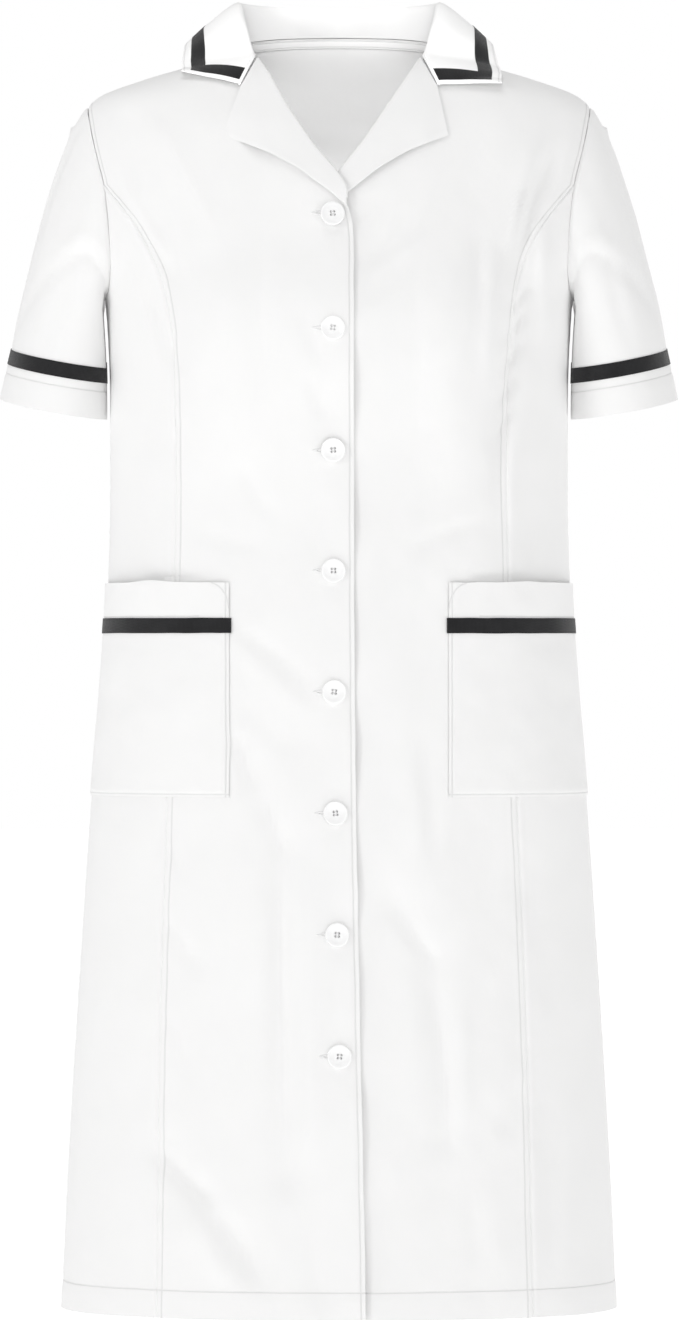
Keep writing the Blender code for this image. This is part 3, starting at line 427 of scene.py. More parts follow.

# %% [markdown]
# ## Folds and creases
#
# The large folds are the ones in the solids: long troughs in the skirt and pulls from the
# armhole to the bust. The small ones are placed one by one, each a soft trough, or a ridge
# where its depth is below zero, that fades at both ends. Cloth is never quite even, so a
# slow swell runs through all of it as well. The back gets the same kinds. The depths of the
# small ones are all raised by one factor.

# %% Folds: x and z of the start, x and z of the end, half-width, depth
FRONT_FOLDS = [
    (-72, -560, -44, -632, 13, 2.5),
    (-44, -632, -42, -890, 17, 4),
    (40, -668, 71, -725, 16, 2.5),
    (71, -725, 83, -860, 17, 3.5),
    (-135, -871, -63, -966, 14, 3),
    (176, -70, 136, -165, 13, 2.5),
    (136, -165, 130, -310, 14, 3),
    (-160, -60, -108, -170, 13, 2),
]
BACK_FOLDS = [
    (-95, -560, -100, -880, 22, 4),
    (20, -640, 28, -930, 24, 3.5),
    (118, -520, 126, -900, 20, 4),
    (-60, -360, 60, -352, 16, 2.5),
    (120, -120, 70, -230, 16, 2),
    (-120, -110, -75, -225, 16, 2),
]
CREASE_STRENGTH = 2.4
FRONT_CREASES = [
    (-172, -56, -118, -205, 8, 1.7),
    (-152, -50, -98, -150, 7, -1.1),
    (-182, -105, -128, -190, 6, 1.3),
    (-172, -112, -132, -172, 6, -0.9),
    (-150, -195, -130, -262, 6, 1.3),
    (-163, -175, -146, -250, 6, -1.2),
    (-158, -250, -140, -330, 7, 1.0),
    (170, -80, 142, -160, 6, 2.0),
    (158, -78, 131, -170, 8, -1.6),
    (146, -150, 132, -285, 7, 2.4),
    (120, -165, 122, -285, 9, -1.6),
    (156, -150, 150, -250, 6, 1.4),
    (164, -150, 160, -240, 6, -1.0),
    (128, -255, 128, -350, 7, 1.5),
    (141, -290, 137, -390, 7, -1.0),
    (113, -150, 106, -205, 6, 0.9),
    (60, -138, 18, -178, 7, 0.9),
    (66, -152, 24, -196, 7, -0.7),
    (34, -122, 14, -150, 6, 0.9),
    (52, -172, 22, -205, 6, 0.7),
    (-34, -205, -10, -262, 8, 0.9),
    (-26, -262, -8, -300, 7, 0.8),
    (-76, -330, -50, -382, 9, 0.7),
    (-84, -455, -18, -515, 8, 1.0),
    (-86, -475, -16, -534, 8, -0.7),
    (-80, -520, -30, -560, 8, 0.8),
    (70, -545, 73, -650, 8, 1.3),
    (58, -560, 62, -640, 9, -0.9),
    (-84, -545, -66, -588, 7, 1.4),
    (-58, -590, -38, -650, 8, 1.6),
    (-44, -655, -44, -895, 9, 2.3),
    (-27, -640, -26, -870, 10, -1.7),
    (-62, -640, -58, -830, 10, -1.0),
    (40, -668, 74, -730, 7, 1.5),
    (76, -728, 86, -872, 8, 1.6),
    (92, -740, 98, -880, 10, -1.0),
    (54, -720, 62, -860, 11, -0.9),
    (-140, -873, -100, -918, 6, 2.2),
    (-100, -918, -64, -972, 7, 1.7),
    (-118, -925, -84, -975, 9, -1.0),
    (-136, -610, -124, -660, 6, 0.9),
    (-134, -690, -112, -735, 7, 1.0),
    (-132, -770, -120, -812, 6, 0.8),
    (142, -820, 128, -862, 6, 0.8),
    (-150, -640, -160, -760, 10, 0.8),
    (150, -640, 168, -780, 11, 1.0),
    (160, -820, 172, -980, 12, 1.2),
    (30, -880, 36, -990, 9, 0.9),
    (-20, -930, -16, -1000, 9, 0.8),
    (104, -900, 112, -1000, 10, 0.9),
    (-168, -330, -160, -405, 8, 1.0),
    (160, -330, 150, -408, 8, 1.1),
    (-120, -380, -60, -405, 8, 0.6),
    (56, -400, 118, -378, 8, 0.7),
    (152, -188, 134, -214, 4, 0.9),
    (149, -210, 128, -240, 4, 1.0),
    (146, -234, 124, -264, 4, 1.0),
    (143, -258, 122, -290, 4, 0.9),
    (140, -284, 122, -314, 4, 0.8),
    (-157, -421.5, -104, -421, 3.6, 1.3),
    (104, -421, 150, -421.5, 3.6, 1.3),
]
BACK_CREASES = [
    (-92, -580, -98, -860, 9, 1.5),
    (-70, -600, -76, -860, 12, -1.2),
    (26, -660, 30, -900, 9, 1.4),
    (48, -660, 54, -900, 12, -1.1),
    (120, -540, 126, -860, 9, 1.5),
    (-50, -366, 40, -356, 7, 1.2),
    (-80, -392, 30, -400, 8, 1.0),
    (-10, -338, 84, -330, 8, 0.9),
    (-60, -378, 60, -377, 8, -0.9),
    (118, -126, 76, -222, 6, 1.3),
    (-118, -116, -80, -218, 6, 1.3),
    (150, -150, 118, -250, 7, 1.2),
    (-150, -150, -112, -255, 7, 1.2),
    (-30, -60, 34, -64, 9, 0.7),
    (-150, -330, -110, -420, 9, 1.1),
    (150, -320, 116, -410, 9, 1.0),
    (-24, -740, -20, -980, 12, 1.1),
    (164, -700, 176, -960, 12, 1.3),
    (-160, -700, -170, -960, 12, 1.2),
    (0, -430, -8, -560, 11, 0.8),
]


def trough(folds, x, z):
    """How deep the large folds are at x and z."""
    deep = np.zeros(np.broadcast(x, z).shape)
    for x_start, z_start, x_end, z_end, half_width, depth in folds:
        run = np.array([x_end - x_start, z_end - z_start])
        on = np.clip(((x - x_start) * run[0] + (z - z_start) * run[1]) / (run @ run), 0, 1)
        away = np.hypot(x - x_start - on * run[0], z - z_start - on * run[1])
        deep = np.maximum(deep, depth * np.exp(-((away / half_width) ** 2)))
    return deep


def creased(creases, x, z):
    """The small creases added up. Each wanders a little and fades at both ends."""
    deep = np.zeros(np.broadcast(x, z).shape)
    for number, (x_start, z_start, x_end, z_end, half_width, depth) in enumerate(creases):
        run = np.array([x_end - x_start, z_end - z_start])
        length = np.hypot(*run)
        on = ((x - x_start) * run[0] + (z - z_start) * run[1]) / length**2
        across = ((x - x_start) * run[1] - (z - z_start) * run[0]) / length
        wander = 0.22 * half_width * np.sin(on * 5.1 + number * 1.7)
        fade = smooth(on, -0.12, 0.28) * (1 - smooth(on, 0.72, 1.12))
        widen = half_width * (1 + 0.3 * np.sin(on * 3.3 + number))
        deep += depth * fade * np.exp(-(((across - wander) / widen) ** 2))
    return deep * CREASE_STRENGTH


def swell(x, z):
    """A slow, uneven swell of the cloth, of about a millimetre."""
    seeded = np.random.default_rng(11)
    total = np.zeros(np.broadcast(x, z).shape)
    for wavelength, size in ((150, 0.55), (95, 0.4), (60, 0.26), (36, 0.14), (22, 0.08)):
        for _ in range(3):
            turn, phase = seeded.uniform(0, math.pi), seeded.uniform(0, math.tau)
            place = x * math.cos(turn) * 1.25 + z * math.sin(turn) * 0.8
            total += size * np.sin(place * math.tau / wavelength + phase)
    return total


def form_point(angle, z):
    turn = np.radians(np.asarray(angle, float))
    z = np.asarray(z, float)
    sine, cosine = np.sin(turn), np.cos(turn)
    in_front = cosine >= 0
    power = np.where(in_front, column_at(RINGS, FRONT_POWER, z), column_at(RINGS, BACK_POWER, z))
    depth = np.where(in_front, column_at(RINGS, FRONT, z), column_at(RINGS, BACK, z))
    x = column_at(RINGS, HALF_WIDTH, z) * np.sign(sine) * np.abs(sine) ** power
    y = -depth * np.sign(cosine) * np.abs(cosine) ** power
    spread = np.where(z > BUST_Z, BUST_UP, BUST_DOWN)
    cup = np.exp(-(((np.abs(x) - BUST_X) / BUST_SIDE) ** 2) - ((z - BUST_Z) / spread) ** 2)
    between = np.exp(-((x / BUST_X) ** 4) - ((z - BUST_Z) / spread) ** 2)
    full = BUST_OUT * np.maximum(cup, BETWEEN * between) * np.abs(cosine)
    y = np.where(in_front, y - full, y)
    flat = np.clip(np.abs(cosine) * 2.5, 0, 1)
    calm = 1 - smooth(z, *CALM)
    front_in = trough(FRONT_FOLDS, x, z) + creased(FRONT_CREASES, x, z) * calm
    back_in = trough(BACK_FOLDS, x, z) + creased(BACK_CREASES, x, z) * calm
    y = y + flat * np.where(in_front, front_in, -back_in)
    y = y + flat * calm * swell(x, z) * np.where(in_front, 1, -1)
    return np.stack([x, y, z * np.ones_like(x)], axis=-1)


NORMAL_STEP = 0.6


def form_normal(angle, z):
    angle, z = np.asarray(angle, float), np.asarray(z, float)
    around = form_point(angle + NORMAL_STEP, z) - form_point(angle - NORMAL_STEP, z)
    up = form_point(angle, z + NORMAL_STEP) - form_point(angle, z - NORMAL_STEP)
    return unit(np.cross(around, up))


def unit(vectors):
    return vectors / np.maximum(np.linalg.norm(vectors, axis=-1, keepdims=True), 1e-9)


def angle_of(x, z):
    """The front angle at which the form is x from the centre."""
    share = np.abs(np.asarray(x, float)) / column_at(RINGS, HALF_WIDTH, z)
    power = column_at(RINGS, FRONT_POWER, z)
    return np.sign(x) * np.degrees(np.arcsin(np.clip(share, 0, 1) ** (1 / power)))


print("creases:", len(FRONT_CREASES) + len(BACK_CREASES))

# %% [markdown]
# ## From a grid of points to a sheet of cloth
#
# Each cut piece is a grid that runs from its lower edge up and across from one seam to the
# other. A helper turns the grid into a mesh, gives it a UV map from the real distances
# along the cloth, and stores how far each point is from each row of stitches. Solidify
# then gives the thin shell its thickness, inwards, so that its outside lies where the
# solid's outside does.

# %% Make a sheet
THICK = 0.8
OUT = 0.75
FAR = 1000.0


def pick(*things):
    """Selects these objects alone, the first of them active."""
    bpy.ops.object.select_all(action="DESELECT")
    for thing in things:
        thing.select_set(True)
    bpy.context.view_layer.objects.active = things[0]


def grid_normals(points, closed=False):
    if closed:
        across = np.roll(points, -1, axis=1) - np.roll(points, 1, axis=1)
    else:
        across = np.gradient(points, axis=1)
    return unit(np.cross(across, np.gradient(points, axis=0)))


def lengths_over(points, closed=False):
    """How far each grid point is across from the first column, and up from the first row."""
    wide = np.concatenate([points, points[:, :1]], axis=1) if closed else points
    across = np.linalg.norm(np.diff(wide, axis=1), axis=-1).cumsum(axis=1)
    across = np.concatenate([np.zeros((len(points), 1)), across], axis=1)
    up = np.linalg.norm(np.diff(wide, axis=0), axis=-1).cumsum(axis=0)
    return across, np.concatenate([np.zeros((1, wide.shape[1])), up])


def make_sheet(name, points, normals, material, rows=None, closed=False, cells=None,
               out=OUT, thick=THICK, inside_out=False):
    """A named sheet. rows gives, for each of six rows of stitches, the signed distance of
    every grid point from it. The third and sixth run across the grid, the others up it."""
    height, width = points.shape[:2]
    across, up = lengths_over(points, closed)
    middle = across[:, -1:] / 2
    flat = np.stack([across - middle, up], axis=-1) * MM
    if cells is None:
        last = width if closed else width - 1
        cells = [(row, column) for row in range(height - 1) for column in range(last)]
    outer = (points + normals * out).reshape(-1, 3) * MM
    faces, corners = [], []
    for row, column in cells:
        beside = (column + 1) % width
        quad = [(row, column), (row, beside), (row + 1, beside), (row + 1, column)]
        uv = [(row, column), (row, column + 1), (row + 1, column + 1), (row + 1, column)]
        if inside_out:
            quad, uv = quad[::-1], uv[::-1]
        faces.append([r * width + c for r, c in quad])
        corners += [flat[r, c] for r, c in uv]
    used = sorted({index for face in faces for index in face})
    renumber = {index: number for number, index in enumerate(used)}
    mesh = bpy.data.meshes.new(f"{name}_cloth")
    mesh.from_pydata(outer[used].tolist(), [], [[renumber[i] for i in face] for face in faces])
    grain = mesh.uv_layers.new(name="grain")
    grain.data.foreach_set("uv", np.array(corners, np.float32).ravel())
    values = np.full((height * width, 6), FAR, np.float32)
    for index, row in (rows or {}).items():
        values[:, index] = np.broadcast_to(row, (height, width)).ravel()
    for label, part in (("rows_a", values[used, :3]), ("rows_b", values[used, 3:])):
        stored = mesh.attributes.new(label, "FLOAT_VECTOR", "POINT")
        stored.data.foreach_set("vector", np.ascontiguousarray(part).ravel())
    made = bpy.data.objects.new(f"{name}_cloth", mesh)
    bpy.context.scene.collection.objects.link(made)
    mesh.materials.append(material)
    pick(made)
    shell = made.modifiers.new("thickness", "SOLIDIFY")
    shell.thickness = thick * MM
    shell.offset = -1
    bpy.ops.object.modifier_apply(modifier=shell.name)
    bpy.ops.object.shade_smooth_by_angle(angle=math.radians(55))
    area = sum(face.area for face in mesh.polygons) / 2
    print(f"{name}: {len(mesh.polygons)} faces, one side {area:.4f} square metres")
    made["area"] = area
    return made


def dressed(made, node):
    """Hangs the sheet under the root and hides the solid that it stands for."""
    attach(made, "root")
    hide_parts(node)
    return made


def side_name(side):
    return "left" if side > 0 else "right"


# %% [markdown]
# ## Seams that the pieces share
#
# The front is cut into a centre and a side panel by the princess seam, which leaves the
# armhole and runs over the bust to the hem. Pieces on both sides of a seam read the same
# line, so they meet all the way. The wearer's right front laps over the left.

# %% Seam lines
SKIRT_ROWS, BUST_ROWS, ARMHOLE_ROWS, SHOULDER_ROWS = 168, 30, 36, 30
FRONT_SWING, BACK_SWING, SWING_POWER, PRINCESS_TURN = 25, 22, 0.8, 80
LAP, BREAK_LAP, LAP_TURN = 12.3, 6.2, 35
LAP_SWING = [(-1005, 9), (-850, 5.5), (-700, 2.5), (-550, 0.5), (-150, -1)]
LAP_LIFT, CROSSING_LIFT, LAP_FADE_X, LAP_FADE = 1.2, 3.2, 22, 55
CROSSING_REACH, CROSSING_UP = 26, 8
PRINCESS = [
    (-1005, 148), (-757, 143.5), (-608, 138), (-422, 131.5), (-347, 130.5),
    (-283, 131), (-226, 134), (-180, 143), (-145, 160),
]
PRINCESS_SWING, PRINCESS_SHIFT, PRINCESS_SWING_DEPTHS = 0.3, 2, (150, 230)
ROLL = [(-127, -6.2), (-118, -5), (-104, 1.5), (-84, 17), (-62, 32), (-38, 48), (-12, 65)]
ROLL_SKEW, SKEW_STARTS, SKEW_ENDS = 3.5, (-122, -95), (-60, -20)
FRONT_NECK = [(-12, 65), (-3, 77), (3, 80)]


def armhole(turns, swing):
    turns = np.radians(np.asarray(turns, float))
    middle, half = (TIP_Z + ARMPIT_Z) / 2, (TIP_Z - ARMPIT_Z) / 2
    across = np.abs(np.sin(turns)) ** SWING_POWER
    return np.stack([90 - swing * across, middle + half * np.cos(turns)], axis=-1)


SKIRT_ZS = np.linspace(HEM_Z, BUST_ROW_Z, SKIRT_ROWS + 1)
JUNCTION = armhole(PRINCESS_TURN, FRONT_SWING)
JUNCTION_X = float(form_point(JUNCTION[0], JUNCTION[1])[0])


def princess_line(side):
    table = PRINCESS + [(float(JUNCTION[1]), JUNCTION_X)]
    zs = np.concatenate([SKIRT_ZS, np.linspace(BUST_ROW_Z, JUNCTION[1], BUST_ROWS + 1)[1:]])
    swing = PRINCESS_SHIFT + PRINCESS_SWING * column_at(LAP_SWING, 1, zs)
    xs = column_at(table, 1, zs) + side * swing * smooth(-zs, *PRINCESS_SWING_DEPTHS)
    return np.stack([angle_of(xs, zs), zs], axis=-1)


def side_line():
    zs = np.concatenate([SKIRT_ZS, np.linspace(BUST_ROW_Z, ARMPIT_Z, BUST_ROWS + 1)[1:]])
    return np.stack([np.full(len(zs), 90.0), zs], axis=-1)


def shoulder_line(steps):
    zs = np.linspace(TIP_Z, NECK_POINT_Z, 200)
    widths = column_at(RINGS, HALF_WIDTH, zs)
    even = np.linspace(widths[0], widths[-1], steps + 1)
    return np.stack([np.full(steps + 1, 90.0), np.interp(-even, -widths, zs)], axis=-1)


def back_neck(angles):
    rise = np.clip(np.sin(np.radians(np.asarray(angles, float) - 90)), 0, 1) ** 0.8
    return NECK_POINT_Z + (BACK_NECK_Z - NECK_POINT_Z) * rise


def front_neck(angle):
    zs = np.linspace(FRONT_NECK[0][0], NECK_POINT_Z - 0.01, 60)
    return float(np.interp(angle, angle_of(column_at(FRONT_NECK, 1, zs), zs), zs))


def lap_edge(zs, side):
    out = column_at(LAP_SWING, 1, zs)
    top = np.clip((np.asarray(zs) - BREAK_Z + LAP_TURN) / LAP_TURN, 0, 1) ** 2
    return -(LAP - side * out) + (LAP - BREAK_LAP) * top


def roll_x(zs, side):
    middle = smooth(zs, *SKEW_STARTS) * (1 - smooth(zs, *SKEW_ENDS))
    return column_at(ROLL, 1, zs) + (ROLL_SKEW if side < 0 else 0) * middle


def front_edge(side):
    lap_zs = np.concatenate([SKIRT_ZS, np.linspace(BUST_ROW_Z, BREAK_Z, BUST_ROWS + 1)[1:]])
    lap = np.stack([angle_of(lap_edge(lap_zs, side), lap_zs), lap_zs], axis=-1)
    roll_zs = np.linspace(BREAK_Z, ROLL[-1][0], ARMHOLE_ROWS * 2 // 3 + 1)[1:]
    roll = np.stack([angle_of(roll_x(roll_zs, side), roll_zs), roll_zs], axis=-1)
    neck_zs = np.linspace(FRONT_NECK[0][0], NECK_POINT_Z, ARMHOLE_ROWS // 3 + 1)[1:]
    neck = np.stack([angle_of(column_at(FRONT_NECK, 1, neck_zs), neck_zs), neck_zs], axis=-1)
    neck[-1] = (90, NECK_POINT_Z)
    return np.concatenate([lap, roll, neck])


def lap_lift(points, side):
    lap = 1 - smooth(points[..., 0] * side, LAP_FADE_X, LAP_FADE_X + LAP_FADE)
    across = points[..., 0] / CROSSING_REACH
    along = (points[..., 2] - BREAK_Z - CROSSING_UP) / CROSSING_REACH
    extra = (CROSSING_LIFT if side < 0 else 0) * np.exp(-(across**2) - along**2)
    return -side * LAP_LIFT * lap + extra


TOP_BUTTON_Z, SECOND_BUTTON_Z, BUTTON_PITCH = -138.5, -227.5, 95.2
BUTTON_ZS = [TOP_BUTTON_Z] + [SECOND_BUTTON_Z - BUTTON_PITCH * i for i in range(7)]
print("front rows:", len(front_edge(1)), "princess seam rows:", len(princess_line(1)))

# %% [markdown]
# ## Body panels
#
# A panel lies between two seams, with more columns close to them. There the cloth dips
# into the seam, stands slightly proud over the turnings, and puckers where the sewing has
# drawn it up. The lap also gapes a little between its buttons, and the hem, where the cloth
# is doubled, stands a little proud of the rest.

# %% Panels from their seams
NEAR_SEAM = np.array([0, 0.9, 2.0, 3.6, 5.2, 6.6, 8.6])
SEAM_STITCH, HEM_STITCH, LAP_STITCH = 5.2, 22.0, 3.4
GAPE, GAPE_WIDE, GAPE_TOP, UNDER_LAP = 2.2, 15, (-150, -128), -0.25
DIMPLE, DIMPLE_WIDE = 0.5, 12


def panel_places(first, last, top, fade, columns, smoothly=9):
    """Angle and height of every grid point, with columns set by true distances."""
    share = np.linspace(0, 1, 121)[:, None]
    top_bend = top - (top[0] * (1 - share) + top[-1] * share)
    count = len(first) - 1

    def places(spots):
        made = np.zeros((*spots.shape, 2))
        for row in range(count + 1):
            blend = smooth(row, count - fade, count)
            at = spots[row][:, None]
            bend = [np.interp(spots[row], share[:, 0], top_bend[:, k]) for k in (0, 1)]
            made[row] = first[row] * (1 - at) + last[row] * at + blend * np.stack(bend, axis=-1)
        return made

    rough = places(np.repeat(np.linspace(0, 1, 25)[None, :], count + 1, axis=0))
    points = form_point(rough[..., 0], rough[..., 1])
    widths = np.linalg.norm(np.diff(points, axis=1), axis=-1).sum(axis=1)
    padded = np.pad(widths, smoothly, mode="edge")
    widths = np.convolve(padded, np.ones(2 * smoothly + 1) / (2 * smoothly + 1), "valid")
    spots = []
    for width in widths:
        near = NEAR_SEAM / width
        middle = np.linspace(near[-1], 1 - near[-1], columns + 1)[1:-1]
        spots.append(np.concatenate([near, middle, 1 - near[::-1]]))
    return places(np.array(spots))


def seam_relief(distance, along, phase):
    """The shape of a sewn seam: a dip at the join, turnings under it, and puckers."""
    dip = -0.85 * np.exp(-((distance / 0.9) ** 2))
    turning = 0.28 * smooth(distance, 0.6, 2.2) * (1 - smooth(distance, 4.6, 6.8))
    pucker = np.sin(along / 2.35 + phase) + 0.7 * np.sin(along / 3.9 + 2 * phase + 1.3)
    reach = np.exp(-(((distance - 4.5) / 5.5) ** 2))
    patchy = 0.55 + 0.45 * np.sin(along / 31 + phase * 3)
    return dip + turning + 0.16 * pucker * reach * patchy


def hem_relief(up):
    doubled = 0.4 * (1 - smooth(up, HEM_STITCH - 1.0, HEM_STITCH + 1.2))
    return doubled - 0.35 * np.exp(-(((up - HEM_STITCH) / 1.6) ** 2))


def gaping(points, side):
    """The lap stands off a little between its buttons, and is held down at each."""
    away = np.min([np.abs(points[..., 2] - z) for z in BUTTON_ZS], axis=0)
    own_x = points[..., 0] * side
    edge = lap_edge(points[..., 2], side)
    near = np.exp(-(((own_x - edge) / GAPE_WIDE) ** 2))
    below = 1 - smooth(points[..., 2], *GAPE_TOP)
    rise = smooth(away, 8, 42) * (0.7 + 0.3 * np.sin(points[..., 2] / 23))
    dimple = DIMPLE * np.exp(-((away / DIMPLE_WIDE) ** 2))
    return near * below * (GAPE * rise - dimple) * (1 if side < 0 else UNDER_LAP)


def front(side):
    turns = np.linspace(PRINCESS_TURN, 0, ARMHOLE_ROWS + 1)[1:]
    last = np.concatenate([princess_line(side), armhole(turns, FRONT_SWING)])
    places = panel_places(
        front_edge(side), last, shoulder_line(120)[::-1], ARMHOLE_ROWS * 2 // 3, 32
    )
    angles, zs = places[..., 0] * side, places[..., 1]
    points, normals = form_point(angles, zs), form_normal(angles, zs)
    across, up = lengths_over(points)
    to_seam = across[:, -1:] - across
    on_skirt = smooth(-zs, 118, 135)
    lift = lap_lift(points, side) + gaping(points, side) + hem_relief(up)
    lift = lift + seam_relief(to_seam, up, 0.4 + side)
    lift = lift - 0.3 * np.exp(-(((across - LAP_STITCH) / 1.5) ** 2)) * on_skirt
    points = points + normals * lift[..., None]
    stitches = {
        0: to_seam - SEAM_STITCH,
        1: np.where(zs < BREAK_Z, across - LAP_STITCH, FAR),
        2: up - HEM_STITCH,
    }
    return make_sheet(f"front_{side_name(side)}", points, normals, dress_cloth, stitches,
                      inside_out=side < 0)


def side_front(side):
    first, last = princess_line(side), side_line()
    top = armhole(np.linspace(PRINCESS_TURN, 180, 121), FRONT_SWING)
    places = panel_places(first, last, top, BUST_ROWS, 18)
    angles, zs = places[..., 0] * side, places[..., 1]
    points, normals = form_point(angles, zs), form_normal(angles, zs)
    across, up = lengths_over(points)
    to_side = across[:, -1:] - across
    lift = seam_relief(across, up, 1.9 + side) + seam_relief(to_side, up, 3.1 + side)
    lift = lift + hem_relief(up)
    lift = lift + seam_relief(up[-1:] - up, across, 0.7) * 0.7
    points = points + normals * lift[..., None]
    return make_sheet(f"side_front_{side_name(side)}", points, normals, dress_cloth,
                      {2: up - HEM_STITCH}, inside_out=side < 0)


def back():
    turns = np.linspace(180, 0, 2 * ARMHOLE_ROWS + 1)[1:]
    first = np.concatenate(
        [side_line(), armhole(turns, -BACK_SWING), shoulder_line(SHOULDER_ROWS)[1:]]
    )
    last = np.stack([360 - first[:, 0], first[:, 1]], axis=-1)
    angles = np.linspace(90, 270, 121)
    top = np.stack([angles, back_neck(angles)], axis=-1)
    places = panel_places(first, last, top, SHOULDER_ROWS, 96)
    points = form_point(places[..., 0], places[..., 1])
    normals = form_normal(places[..., 0], places[..., 1])
    across, up = lengths_over(points)
    lift = seam_relief(across, up, 0.9) + seam_relief(across[:, -1:] - across, up, 2.4)
    lift = lift + hem_relief(up)
    points = points + normals * lift[..., None]
    return make_sheet("back", points, normals, dress_cloth, {2: up - HEM_STITCH})


fronts = {side: front(side) for side in (-1, 1)}
side_fronts = {side: side_front(side) for side in (-1, 1)}
back_sheet = back()

# %% [markdown]
# ## Sleeves
#
# A short set-in sleeve is one tube. It is sewn into the oval armhole, rounds over the
# shoulder and hangs to a straight hem. The tape lies round it above the hem. Below the
# armpit its inner side is kept a little off the side of the body, so that the two don't cut
# into each other.

# %% Sleeves
SLEEVE_CENTRE = (226, 27, -286)
SLEEVE_HALF_WIDTH, SLEEVE_HALF_DEPTH, SLEEVE_TAPER = 45.7, 64, 2
SLEEVE_TILT, SLEEVE_BACK_TILT = math.radians(10), math.radians(5)
SLEEVE_TAPE_UP, TAPE_WIDTH, TAPE_STITCH = 29, 12, 1.2
CUFF_CLEAR, SIDE_CLEAR, SIDE_SPREAD, BELOW_ARMPIT = 2.9, 4.2, 0.03, (198, 212)
SEWN_ROWS = 6
SLEEVE_HANG, SLEEVE_LEAVE, CAP_OUT, CAP_DROP = 0.9, 0.55, 0.25, 0.3
SLEEVE_START = 0.5
SLEEVE_FOLD_STRENGTH = 1.5
# turn and share of the way up, at the start and at the end, half-width in degrees, depth
SLEEVE_FOLDS = [
    (28, 0.16, 120, 0.75, 9, 1.8),
    (52, 0.30, 118, 0.92, 8, -1.2),
    (300, 0.25, 262, 0.85, 9, 1.6),
    (332, 0.20, 290, 0.80, 8, -1.1),
    (150, 0.35, 168, 0.95, 8, 1.6),
    (205, 0.30, 190, 0.95, 8, 1.4),
    (8, 0.30, 20, 0.8, 9, 0.9),
    (70, 0.05, 84, 0.45, 9, 1.0),
]


def form_tree():
    """The form's points off the armholes, to keep loose cloth clear of it."""
    angles, zs = np.meshgrid(np.arange(0, 360, 2.0), np.arange(-330, 30, 3.0))
    middle, half = (TIP_Z + ARMPIT_Z) / 2, (TIP_Z - ARMPIT_Z) / 2
    across = np.abs(90 - np.abs((angles + 180) % 360 - 180)) / BACK_SWING
    is_cloth = np.hypot(across, (zs - middle) / half) > 0.97
    places, outs = form_point(angles, zs)[is_cloth], form_normal(angles, zs)[is_cloth]
    tree = KDTree(len(places))
    for index, place in enumerate(places):
        tree.insert(place, index)
    tree.balance()
    return tree, places, outs


TREE, TREE_PLACES, TREE_OUTS = form_tree()


def clear_of_form(points, least):
    """The grid, pushed smoothly off the form where it is nearer than least."""
    height, width = points.shape[:2]
    push = np.zeros((height, width, 3))
    for row in range(height):
        for column in range(width):
            _, near, _ = TREE.find(points[row, column])
            away = float((points[row, column] - TREE_PLACES[near]) @ TREE_OUTS[near])
            if away < least:
                push[row, column] = TREE_OUTS[near] * (least - away)
    for _ in range(3):
        spread = np.pad(push, ((1, 1), (1, 1), (0, 0)), mode="edge")
        spread = (spread[:-2, 1:-1] + spread[2:, 1:-1] + spread[1:-1, :-2] + spread[1:-1, 2:]) / 4
        push = np.where(np.linalg.norm(push, axis=-1, keepdims=True) > 0.2,
                        0.5 * (push + spread), spread)
    return points + push


def tube_normals(points):
    """The normals of a closed grid, turned outwards."""
    normals = grid_normals(points, closed=True)
    outwards = ((points - points.mean(axis=1, keepdims=True)) * normals).sum() > 0
    return normals if outwards else -normals


